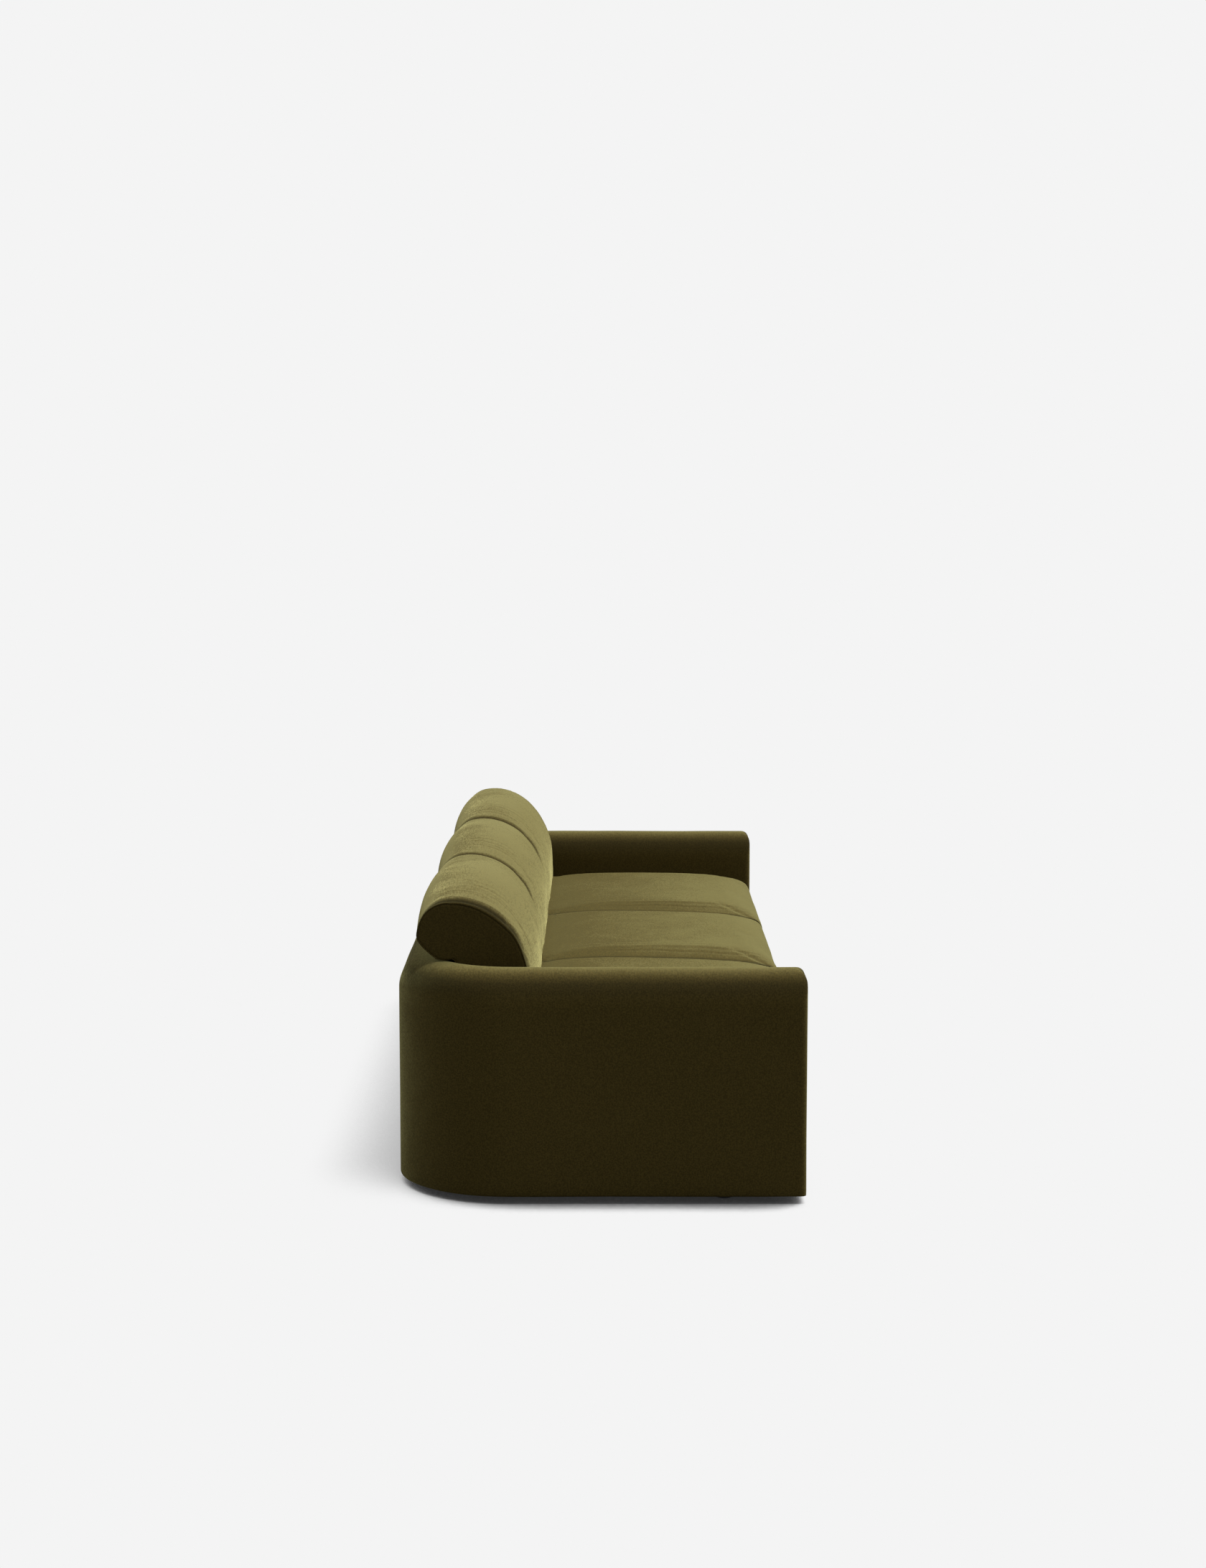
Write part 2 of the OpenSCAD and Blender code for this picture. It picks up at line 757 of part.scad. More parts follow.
handed(-1) end_cover();  // left_cover
handed(-1) arm_foam();  // left_arm_foam
handed(-1) corner_foam();  // left_corner_foam
handed(-1) back_foam_between(joint_x, corner_x, corner_x + over);  // left_back_foam
handed(-1) arm_frame();  // left_arm_frame
handed(-1) corner_frame();  // left_corner_frame
handed(-1) back_frame_between(joint_x + foam_in, corner_x);  // left_back_frame
handed(-1) long_rails(joint_x, base_end_x);  // left_long_rails
handed(-1) side_rails(joint_x, base_end_x, end_screw_places());  // left_side_rails
handed(-1) foot_blocks(end_blocks(), end_screw_places());  // left_foot_blocks
handed(-1) front_panel(joint_x, base_end_x);  // left_front_panel
handed(-1) webbing(joint_x, base_end_x);  // left_webbing
handed(-1) deck_cloth(joint_x, base_end_x);  // left_deck_cloth
handed(-1) dust_cloth(joint_x, base_end_x, end_blocks());  // left_dust_cloth
handed(-1) feet(end_feet());  // left_feet
handed(-1) screws(end_screw_places());  // left_screws
handed(-1) fork_plates();  // left_fork_plates
handed(1) end_cover();  // right_cover
handed(1) arm_foam();  // right_arm_foam
handed(1) corner_foam();  // right_corner_foam
handed(1) back_foam_between(joint_x, corner_x, corner_x + over);  // right_back_foam
handed(1) arm_frame();  // right_arm_frame
handed(1) corner_frame();  // right_corner_frame
handed(1) back_frame_between(joint_x + foam_in, corner_x);  // right_back_frame
handed(1) long_rails(joint_x, base_end_x);  // right_long_rails
handed(1) side_rails(joint_x, base_end_x, end_screw_places());  // right_side_rails
handed(1) foot_blocks(end_blocks(), end_screw_places());  // right_foot_blocks
handed(1) front_panel(joint_x, base_end_x);  // right_front_panel
handed(1) webbing(joint_x, base_end_x);  // right_webbing
handed(1) deck_cloth(joint_x, base_end_x);  // right_deck_cloth
handed(1) dust_cloth(joint_x, base_end_x, end_blocks());  // right_dust_cloth
handed(1) feet(end_feet());  // right_feet
handed(1) screws(end_screw_places());  // right_screws
handed(1) fork_plates();  // right_fork_plates
middle_cover();
middle_back_foam();
back_frame_between(foam_in - middle_x, middle_x - foam_in);  // middle_back_frame
long_rails(-middle_x, middle_x);  // middle_long_rails
side_rails(-middle_x, middle_x, middle_screw_places());  // middle_side_rails
foot_blocks(middle_feet_places(), middle_screw_places());  // middle_foot_blocks
front_panel(-middle_x, middle_x);  // middle_front_panel
webbing(-middle_x, middle_x);  // middle_webbing
deck_cloth(-middle_x, middle_x);  // middle_deck_cloth
dust_cloth(-middle_x, middle_x, middle_feet_places());  // middle_dust_cloth
feet(middle_feet_places());  // middle_feet
screws(middle_screw_places());  // middle_screws
pin_plates();  // middle_pin_plates
seat_cover(-1);  // left_seat_cover
seat_core(-1);  // left_seat_core
bolster_cover(-1);  // left_bolster_cover
bolster_core(-1);  // left_bolster_core
seat_cover(0);  // middle_seat_cover
seat_core(0);  // middle_seat_core
bolster_cover(0);  // middle_bolster_cover
bolster_core(0);  // middle_bolster_core
seat_cover(1);  // right_seat_cover
seat_core(1);  // right_seat_core
bolster_cover(1);  // right_bolster_cover
bolster_core(1);  // right_bolster_core
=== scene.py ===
import json
import math

import bpy
import numpy as np
from bpy.props import FloatProperty, FloatVectorProperty, IntProperty, PointerProperty
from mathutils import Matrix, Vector
from mathutils.geometry import delaunay_2d_cdt


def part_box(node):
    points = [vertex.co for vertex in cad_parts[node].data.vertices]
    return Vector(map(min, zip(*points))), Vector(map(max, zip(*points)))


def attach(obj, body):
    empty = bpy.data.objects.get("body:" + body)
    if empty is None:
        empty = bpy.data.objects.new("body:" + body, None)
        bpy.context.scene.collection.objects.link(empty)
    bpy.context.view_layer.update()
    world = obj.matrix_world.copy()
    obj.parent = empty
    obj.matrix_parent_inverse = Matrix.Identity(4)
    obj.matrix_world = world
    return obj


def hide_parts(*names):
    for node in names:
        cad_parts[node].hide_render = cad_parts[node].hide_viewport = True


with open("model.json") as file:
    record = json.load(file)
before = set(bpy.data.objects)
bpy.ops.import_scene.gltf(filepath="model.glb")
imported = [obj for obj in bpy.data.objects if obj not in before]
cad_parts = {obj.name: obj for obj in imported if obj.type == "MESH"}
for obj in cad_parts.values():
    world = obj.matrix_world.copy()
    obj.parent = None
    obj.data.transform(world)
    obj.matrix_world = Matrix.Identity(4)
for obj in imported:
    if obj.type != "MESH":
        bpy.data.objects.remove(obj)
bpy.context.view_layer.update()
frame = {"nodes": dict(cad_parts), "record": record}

bl_info = {
    "name": "Modular Velvet Sofa",
    "version": (1, 0, 0),
    "blender": (4, 5, 0),
    "location": "View3D > Sidebar > Sofa",
    "description": "Dresses a three seat modular sofa with velvet covers, cushions and bolsters",
    "category": "Object",
}

SIDES = ("left", "middle", "right")
SEAT_X = {"left": -1, "middle": 0, "right": 1}

# The walls' places come from the frame: outer faces, inner faces and heights
WALL_LOW, WALL_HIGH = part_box("right_cover")
MIDDLE_LOW, MIDDLE_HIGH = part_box("middle_cover")
SEAT_LOW, SEAT_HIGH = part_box("middle_seat_cover")
BOLSTER_LOW, BOLSTER_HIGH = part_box("middle_bolster_cover")
WALL_THICK = MIDDLE_HIGH.y - MIDDLE_LOW.y
BULL_R = WALL_THICK / 2
BULL_Z = WALL_HIGH.z - BULL_R
SEAT_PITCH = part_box("right_seat_core")[0].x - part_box("middle_seat_core")[0].x
NOTCH_Z = WALL_HIGH.z
REST_Z = BOLSTER_LOW.z
CUSHION_W = SEAT_HIGH.x - SEAT_LOW.x
# How far the foam lies inside the covers, and how far above their feet
FOAM_IN = 0.0032
FOAM_FOOT = 0.0015
# Widths of the rails, the rear corners' ribs and the webs, and how many webs lie each way
RAIL_T = 0.04
RIB_W = 0.034
WEB_W = 0.05
WEB_COUNT = 6
FOOT_HOLE_R = 0.021
# The covers' closed undersides lie this much below the frames that they hide
BELOW = 0.0004
# Length of a step along a wall
WALL_STEP = 0.015
# How far in from a flat end's edge its seam and its panel lie, and the share that draws in the panel's rings
SEAM_IN, PANEL_IN, PANEL_SHARE = 0.002, 0.005, 0.985
# Thicknesses of the deck and dust cloths, half a web's, and how far the webs weave up and down
DECK_T = 0.0008
DUST_T = 0.0004
WEB_HALF_T = 0.0007
WEAVE = 0.0009
# How far the deck cloth stays in from its solid
DECK_IN = 0.0015

# Outlines as shares of the runs and heights that they follow, as the solids have them
SEAT_FRONT = [
    (0.04, 0), (0.016, 0.03), (0.003, 0.1), (0, 0.22), (-0.002, 0.34), (-0.005, 0.46), (-0.007, 0.58),
    (-0.006, 0.74), (-0.001, 0.84), (0.015, 0.92), (0.043, 0.98),
]
SEAT_TOP = [
    (0.1, 0.3), (0.195, 0.66), (0.332, 0.9), (0.474, 1), (0.616, 1), (0.758, 0.9), (0.87, 0.6),
    (0.95, 0.2), (0.99, 0),
]
SEAT_REAR = [
    (0.5, 1), (0.95, 1), (0.99, 0.98), (1, 0.94), (1, 0.72), (1, 0.5), (1, 0.28), (1, 0.06), (0.97, 0),
]
BOLSTER_FRONT = [
    (0.017, 0, 0.05), (0.003, 0.059, 0.2), (0, 0.18, 0.35), (0, 0.309, 0.45), (0.007, 0.42, 0.55),
    (0.022, 0.531, 0.65), (0.05, 0.629, 0.74), (0.1, 0.724, 0.84), (0.171, 0.813, 0.93), (0.266, 0.892, 1),
    (0.388, 0.952, 1), (0.509, 0.986, 1), (0.63, 1, 1),
]
BOLSTER_REAR = [
    (0.728, 0.975, 1), (0.822, 0.917, 0.78), (0.898, 0.823, 0.6), (0.96, 0.664, 0.38), (1.001, 0.503, 0.3),
    (1.02, 0.365, 0.34), (1.012, 0.229, 0.42), (0.967, 0.119, 0.44), (0.9, 0.038, 0.42), (0.84, 0, 0.3),
]

# The floor shows two shadows, a dark strip below the sofa's near end and a soft one behind it. Each has
# a reach, the way that it looks, and how bright the floor is for each share of open space there.
NEAR_SHADOW = (0.15, (0.8, 0.0, 0.6), (
    (0.29, 0.05), (0.34, 0.06), (0.39, 0.1), (0.44, 0.25), (0.48, 0.65), (0.53, 1.0)))
REAR_SHADOW = (0.28, (-0.64, -0.64, 0.42), (
    (0.3, 0.4), (0.485, 0.52), (0.6, 0.7), (0.65, 0.76), (0.71, 0.88), (0.78, 0.945), (0.85, 1.0)))


class SofaSizes(bpy.types.PropertyGroup):
    """Sizes of the covers and cushions that a user may change"""

    corner_radius: FloatProperty(
        name="Corner radius", description="Outer radius of the rear corners", default=0.27, unit="LENGTH")
    edge_radius: FloatProperty(
        name="Edge radius", description="Radius of the arm fronts' upright edges", default=0.015,
        unit="LENGTH")
    nose_radius: FloatProperty(
        name="Nose radius", description="Radius of the arm fronts' top corners", default=0.03, unit="LENGTH")
    hem_radius: FloatProperty(
        name="Hem radius", description="Radius where the covers turn under", default=0.004, unit="LENGTH")
    seat_draw_top: FloatProperty(
        name="Seat top draw", description="How far a seat's sides draw in at the top", default=0.026,
        unit="LENGTH")
    seat_draw_front: FloatProperty(
        name="Seat front draw", description="How far a seat's sides draw in at the front", default=0.009,
        unit="LENGTH")
    seat_roll: FloatProperty(
        name="Seat roll", description="Width of the rounded strip at a seat's sides", default=0.11,
        unit="LENGTH")
    seat_slow: FloatProperty(
        name="Seat slow rise", description="Share of a seat's crown that rises slowly to its middle",
        default=0.08)
    bolster_draw: FloatProperty(
        name="Bolster draw", description="How far a bolster's sides draw in", default=0.05, unit="LENGTH")
    bolster_roll: FloatProperty(
        name="Bolster roll", description="Width of the fold at a bolster's sides", default=0.03,
        unit="LENGTH")
    bolster_slow: FloatProperty(
        name="Bolster slow rise", description="Share of a bolster's crown that rises slowly to its middle",
        default=0.62)
    swell: FloatProperty(
        name="Swell", description="How far the stuffing may push the fabric out", default=0.008,
        unit="LENGTH")
    cell: FloatProperty(
        name="Cell", description="Size of the mesh's cells before the last refinement", default=0.014,
        unit="LENGTH")
    frames: IntProperty(name="Frames", description="Steps of the cloth simulation", default=20, min=2)


class SofaColours(bpy.types.PropertyGroup):
    """Colours of the sofa's materials, as scene linear values"""

    velvet: FloatVectorProperty(
        name="Velvet", description="Velvet seen straight on", subtype="COLOR", size=3,
        default=(0.05, 0.036, 0.0092))
    # The paler tone of the nap's random blotches, also used where painted light pales the base
    velvet_light: FloatVectorProperty(
        name="Velvet light", description="Velvet where the pile lies towards the light", subtype="COLOR",
        size=3, default=(0.062, 0.045, 0.0125))
    velvet_sheen: FloatVectorProperty(
        name="Velvet sheen", description="Tint of the pile's rim light", subtype="COLOR", size=3,
        default=(0.68, 0.65, 0.27))
    # Painted light: a brighter copy of the sheen tint, which makes the bolsters look more lit than the seats
    # and walls
    bolster_lit_sheen: FloatVectorProperty(
        name="Brushed sheen", description="The same on the bolsters, where the pile stands up",
        subtype="COLOR", size=3, default=(0.98, 0.91, 0.39))
    foam: FloatVectorProperty(
        name="Foam", description="Open cell foam", subtype="COLOR", size=3, default=(0.78, 0.7, 0.45))
    timber: FloatVectorProperty(
        name="Timber", description="Planed frame timber", subtype="COLOR", size=3, default=(0.5, 0.33, 0.17))
    cloth: FloatVectorProperty(
        name="Lining cloth", description="Deck and dust cloth", subtype="COLOR", size=3,
        default=(0.018, 0.018, 0.016))
    steel: FloatVectorProperty(
        name="Steel", description="Zinc plated steel", subtype="COLOR", size=3, default=(0.6, 0.61, 0.63))
    plastic: FloatVectorProperty(
        name="Foot plastic", description="Black plastic of the feet", subtype="COLOR", size=3,
        default=(0.012, 0.012, 0.012))
    backdrop: FloatProperty(
        name="Backdrop", description="Brightness of the floor and backdrop", default=0.905, min=0, max=1)


def sizes():
    return bpy.context.scene.sofa_sizes


def colours():
    return bpy.context.scene.sofa_colours


class Wire:
    """A shader socket that takes part in sums: arithmetic on it adds Math nodes."""

    def __init__(self, shader, socket):
        self.shader = shader
        self.socket = socket

    def sum(self, operation, a, b):
        return self.shader.node("ShaderNodeMath", {"operation": operation}, {0: a, 1: b})

    def __add__(self, other):
        return self.sum("ADD", self, other)

    def __radd__(self, other):
        return self.sum("ADD", other, self)

    def __sub__(self, other):
        return self.sum("SUBTRACT", self, other)

    def __rsub__(self, other):
        return self.sum("SUBTRACT", other, self)

    def __mul__(self, other):
        return self.sum("MULTIPLY", self, other)

    def __rmul__(self, other):
        return self.sum("MULTIPLY", other, self)

    def __pow__(self, other):
        return self.sum("POWER", self, other)


class Shader:
    """A material or world under construction, whose nodes all come from one method."""

    def __init__(self, owner):
        owner.use_nodes = True
        self.owner = owner
        self.tree = owner.node_tree
        self.tree.nodes.clear()

    def node(self, kind, settings=None, inputs=None, output=0):
        made = self.tree.nodes.new(kind)
        for name, value in (settings or {}).items():
            if name == "stops":
                ramp = made.color_ramp.elements
                for i, (place, tone) in enumerate(value):
                    stop = ramp[i] if i < len(ramp) else ramp.new(place)
                    stop.position = place
                    stop.color = (tone, tone, tone, 1)
            else:
                setattr(made, name, value)
        for name, value in (inputs or {}).items():
            socket = made.inputs[name]
            if isinstance(value, Wire):
                self.tree.links.new(value.socket, socket)
            elif socket.type == "RGBA" and len(value) == 3:
                socket.default_value = (*value, 1)
            else:
                socket.default_value = value
        return Wire(self, made.outputs[output]) if made.outputs else None

    def place(self):
        return self.node("ShaderNodeTexCoord", output=3)

    def noise(self, place, scale, detail=2.0, roughness=0.5, distortion=0.0):
        return self.node("ShaderNodeTexNoise", {}, {
            "Vector": place, "Scale": scale, "Detail": detail, "Roughness": roughness,
            "Distortion": distortion,
        })

    def steps(self, value, *stops):
        return self.node("ShaderNodeValToRGB", {"stops": stops}, {0: value})

    def spread(self, value, start, end):
        """A value between the two of start, turned into one between the two of end."""
        return self.node("ShaderNodeMapRange", {}, {
            "Value": value, "From Min": start[0], "From Max": start[1], "To Min": end[0], "To Max": end[1]})

    def in_view(self):
        """1 for a ray that comes from the camera, off a mirror or through glass."""
        seen, mirrored, through = (
            self.node("ShaderNodeLightPath", output=name)
            for name in ("Is Camera Ray", "Is Glossy Ray", "Is Transmission Ray")
        )
        return self.node(
            "ShaderNodeMath", {"operation": "ADD", "use_clamp": True}, {0: seen + mirrored, 1: through})

    def facing(self, way):
        """How far the surface faces a way: 1 straight on."""
        normal = self.node("ShaderNodeNewGeometry", output=1)
        return self.node("ShaderNodeVectorMath", {"operation": "DOT_PRODUCT"}, {0: normal, 1: way}, output=1)

    def blend(self, factor, first, second):
        return self.node(
            "ShaderNodeMix", {"data_type": "RGBA"}, {0: factor, 6: first, 7: second}, output=2)

    def bump(self, height, strength, distance, normal=None):
        inputs = {"Height": height, "Strength": strength, "Distance": distance}
        if normal is not None:
            inputs["Normal"] = normal
        return self.node("ShaderNodeBump", {}, inputs)

    def surface(self, inputs):
        shade = self.node("ShaderNodeBsdfPrincipled", {}, inputs)
        self.node("ShaderNodeOutputMaterial", {}, {"Surface": shade})
        return self.owner


def new_material(name):
    return Shader(bpy.data.materials.new(name))


def velvet(name, sheen, weights, painted_light, depth):
    """Short pile that goes dark head on and pale at a glance, with random stroked blotches. The weights are
    those of its rim light where it lies flat and where it stands up. Painted light and shade come from
    painted_light, which picks between these two by where the surface faces or lies, and also moves the base
    colour towards velvet_light.
    The depth is painted shade: it darkens the base colour towards black."""
    tones = colours()
    m = new_material(name)
    place = m.place()
    strokes = m.steps(m.noise(place, 5.5, 3.0, 0.55, 0.6), (0.34, 0.0), (0.68, 1.0))
    clouds = m.noise(place, 34.0, 3.0, 0.6)
    drawn = m.node("ShaderNodeMapping", {}, {"Vector": place, "Scale": (0.25, 1.0, 1.0)})
    grain = m.noise(drawn, 260.0, 2.0, 0.7)
    pile = m.noise(place, 620.0, 2.0, 0.8)
    # Random blotches and grain for the nap, plus painted light and shade from painted_light
    nap_and_painted_light = strokes * 0.25 + clouds * 0.3 + grain * 1.1 - 0.3 + painted_light(m, place)
    bumped = m.bump(pile * 0.5 + clouds * 0.5, 0.35, 0.0012)
    specks = m.steps(m.noise(drawn, 300.0, 1.0, 0.6), (0.36, 0.0), (0.64, 1.0))
    # The base colour pales with the nap and with painted light, and darkens with painted shade
    dark, pale = (
        m.blend(nap_and_painted_light, *(tuple(c * share for c in tone) for tone in (tones.velvet, tones.velvet_light)))
        for share in (0.78, 1.22)
    )
    # Painted shade: depth darkens the base colour towards black
    base = m.blend(depth(m, place), m.blend(specks, dark, pale), (0.0, 0.0, 0.0))
    # A dull and a sheeny copy: the sheeny one stands for upright nap and also for painted light
    lying_or_shaded, raised_or_lit = (
        m.node("ShaderNodeBsdfPrincipled", {}, {
            "Base Color": base,
            "Roughness": 0.82 + clouds * 0.12,
            "Specular IOR Level": 0.03,
            "Sheen Weight": weight,
            "Sheen Roughness": 0.43,
            "Sheen Tint": sheen,
            "Normal": bumped,
        })
        for weight in weights
    )
    # The mix follows the nap's blotches and the painted light and shade
    standing_or_lit = m.steps(nap_and_painted_light, (0.2, 0.0), (0.8, 1.0))
    mixed = m.node("ShaderNodeMixShader", {}, {0: standing_or_lit, 1: lying_or_shaded, 2: raised_or_lit})
    m.node("ShaderNodeOutputMaterial", {}, {"Surface": mixed})
    return m.owner


def velvet_material():
    """On the walls, painted light: more sheen and a paler base on their rounded tops and on faces towards the
    rear, and painted shade on the slopes and the upright faces.
    """
    def painted_light(m, place):
        # Painted light on faces towards the rear and on the rounded tops, painted shade below them
        rear = m.spread(m.facing((0.0, 1.0, 0.0)), (0.4, 1.0), (0.0, 0.4))
        return m.spread(m.facing((0.0, 0.0, 1.0)), (0.72, 1.0), (-0.5, 0.3)) + rear

    # Painted shade: the base darkens on the slopes between the tops and the upright faces
    def depth(m, place):
        return m.steps(m.facing((0.0, 0.0, 1.0)), (0.05, 0.0), (0.38, 0.45), (0.62, 0.55), (0.96, 0.0))
    return velvet("velvet", colours().velvet_sheen, (0.3, 0.84), painted_light, depth)


def from_middle(m, place):
    """How far a point is from the middle of its cushion, as a share of the pitch."""
    along = m.node("ShaderNodeSeparateXYZ", {}, {0: place}, output=0)
    turns = m.node("ShaderNodeMath", {"operation": "FRACT"}, {0: along * (1 / SEAT_PITCH) + 10.5})
    return m.node("ShaderNodeMath", {"operation": "ABSOLUTE"}, {0: turns - 0.5})


def velvet_bolster_lit_material():
    """On the bolsters, painted light where they face front and up, painted shade where they face the rear, in
    the folds at their ends and along thin crease lines near them, and a darker base by their seams.
    """
    def painted_light(m, place):
        # Painted shade in the folds at the ends and along thin crease lines near them, painted light towards
        # the front and top
        away_x = from_middle(m, place)
        fold_shade = m.spread(away_x, (0.45, 0.488), (0.0, -0.6))
        drawn = m.node("ShaderNodeMapping", {}, {"Vector": place, "Scale": (60.0, 4.0, 4.0)})
        away = m.node("ShaderNodeMath", {"operation": "ABSOLUTE"}, {0: m.noise(drawn, 1.0, 1.0) - 0.5})
        crease_shade = m.spread(away, (0.0, 0.05), (-0.2, 0.0)) * m.spread(away_x, (0.25, 0.36), (0.0, 1.0))
        return m.spread(m.facing((0.0, -0.6, 0.8)), (-0.3, 1.0), (-0.8, 0.3)) + fold_shade + crease_shade

    # Painted shade: the base darkens near the seams at the ends
    def depth(m, place):
        return m.steps(
            from_middle(m, place), (0.455, 0.0), (0.475, 0.3), (0.489, 0.75), (0.4965, 0.75), (0.4975, 0.0))
    return velvet("velvet_brushed", colours().bolster_lit_sheen, (0.25, 1.0), painted_light, depth)


def velvet_seat_material():
    """On the seats, painted light towards the front and painted shade towards the rear by the bolsters, in
    the folds by their seams and on faces towards -X; the base darkens by the seams.
    """
    def painted_light(m, place):
        # Painted light at the front and painted shade towards the rear, in the folds by the seams and on
        # faces towards -X
        back = m.node("ShaderNodeSeparateXYZ", {}, {0: place}, output=1)
        fold_shade = m.spread(from_middle(m, place), (0.47, 0.492), (0.0, -0.8))
        turned_shade = m.spread(m.facing((-1.0, 0.0, 0.0)), (0.03, 0.3), (0.0, -0.45))
        return m.spread(back, (-0.42, 0.14), (0.4, -0.5)) + fold_shade + turned_shade

    # Painted shade: the base darkens by the seams
    def depth(m, place):
        return m.steps(from_middle(m, place), (0.475, 0.0), (0.492, 0.6))
    return velvet("velvet_seat", colours().velvet_sheen, (0.36, 0.95), painted_light, depth)


def foam_material():
    tones = colours()
    m = new_material("foam")
    place = m.place()
    cells = m.node("ShaderNodeTexVoronoi", {}, {"Vector": place, "Scale": 420.0})
    tint = m.noise(place, 9.0, 2.0)
    deep = tuple(c * 0.72 for c in tones.foam)
    return m.surface({
        "Base Color": m.blend(tint * 0.5 + cells * 0.4, tones.foam, deep),
        "Roughness": 0.9,
        "Normal": m.bump(cells, 0.5, 0.0008),
    })


def timber_material():
    tones = colours()
    m = new_material("timber")
    place = m.place()
    stretched = m.node("ShaderNodeMapping", {}, {"Vector": place, "Scale": (3.0, 22.0, 22.0)})
    grain = m.noise(stretched, 3.0, 6.0, 0.6, 1.4)
    pores = m.noise(stretched, 40.0, 2.0, 0.5)
    deep = tuple(c * 0.55 for c in tones.timber)
    rings = m.steps(grain, (0.35, 0.0), (0.7, 1.0)) * 0.7 + pores * 0.2
    return m.surface({
        "Base Color": m.blend(rings, tones.timber, deep),
        "Roughness": 0.55 + pores * 0.2,
        "Normal": m.bump(pores, 0.25, 0.0005),
    })


def lining_material():
    tones = colours()
    m = new_material("lining_cloth")
    place = m.place()
    threads = 900.0
    weave = [
        m.node("ShaderNodeTexWave", {"bands_direction": way}, {"Vector": place, "Scale": threads / math.tau})
        for way in ("X", "Y")
    ]
    fuzz = m.noise(place, 60.0, 3.0)
    pale = tuple(c * 2.6 for c in tones.cloth)
    return m.surface({
        "Base Color": m.blend(weave[0] * weave[1] * 0.7 + fuzz * 0.3, tones.cloth, pale),
        "Roughness": 0.85 + fuzz * 0.1,
        "Normal": m.bump(weave[0] + weave[1], 0.3, 0.0004),
    })


def steel_material():
    tones = colours()
    m = new_material("zinc_steel")
    place = m.place()
    spangle = m.noise(place, 160.0, 3.0)
    dull = tuple(c * 0.8 for c in tones.steel)
    return m.surface({
        "Base Color": m.blend(spangle, tones.steel, dull),
        "Metallic": 1.0,
        "Roughness": 0.3 + spangle * 0.2,
        "Normal": m.bump(spangle, 0.1, 0.0002),
    })


def plastic_material():
    tones = colours()
    m = new_material("foot_plastic")
    place = m.place()
    grain = m.noise(place, 900.0, 2.0)
    scuffs = m.noise(place, 70.0, 4.0, 0.7)
    pale = tuple(c * 2.4 for c in tones.plastic)
    return m.surface({
        "Base Color": m.blend(m.steps(scuffs, (0.5, 0.0), (0.8, 1.0)), tones.plastic, pale),
        "Roughness": 0.45 + scuffs * 0.2,
        "Normal": m.bump(grain, 0.2, 0.0002),
    })


MATERIALS = {}


def material(name):
    """Each material is made once, when a piece first asks for it."""
    makers = {
        "velvet": velvet_material, "velvet_brushed": velvet_bolster_lit_material,
        "velvet_seat": velvet_seat_material, "foam": foam_material, "timber": timber_material,
        "cloth": lining_material, "steel": steel_material, "plastic": plastic_material,
    }
    if name not in MATERIALS:
        MATERIALS[name] = makers[name]()
    return MATERIALS[name]


def clip01(value):
    return max(0.0, min(1.0, value))


def make_piece(name, points, faces, slot):
    """A smooth mesh object with one material. The three velvets fill the record's one velvet slot."""
    piece = bpy.data.objects.new(name, make_mesh(name, points, faces))
    bpy.context.scene.collection.objects.link(piece)
    piece.data.materials.append(material(slot))
    return piece


def make_mesh(name, points, faces):
    mesh = bpy.data.meshes.new(name)
    mesh.from_pydata([tuple(p) for p in points], [], faces)
    mesh.update()
    mesh.shade_smooth()
    return mesh


def read_points(piece):
    flat = np.zeros(len(piece.data.vertices) * 3)
    piece.data.vertices.foreach_get("co", flat)
    return flat.reshape(-1, 3)


def read_normals(piece):
    flat = np.zeros(len(piece.data.vertices) * 3)
    piece.data.vertex_normals.foreach_get("vector", flat)
    return flat.reshape(-1, 3)


def write_points(piece, points):
    piece.data.vertices.foreach_set("co", points.reshape(-1))
    piece.data.update()


def push_out(piece, depth_at):
    """Moves each point along its normal by what depth_at gives for the array of points."""
    points = read_points(piece)
    write_points(piece, points + read_normals(piece) * depth_at(points)[:, None])


def ripple(points, scale, seed):
    """Smooth unevenness, mostly from -1 to 1: waves of like lengths in fixed directions."""
    draw = np.random.default_rng(seed)
    ways = draw.normal(size=(9, 3))
    ways *= (scale * draw.uniform(0.6, 1.6, 9) / np.linalg.norm(ways, axis=1))[:, None]
    phases = draw.uniform(0, math.tau, 9)
    return np.sin(points @ ways.T + phases).mean(axis=1) * 2


def ramp(values, start, end):
    """0 at the start and before it, 1 at the end and past it, and smooth between."""
    share = np.clip((values - start) / (end - start), 0, 1)
    return share * share * (3 - 2 * share)


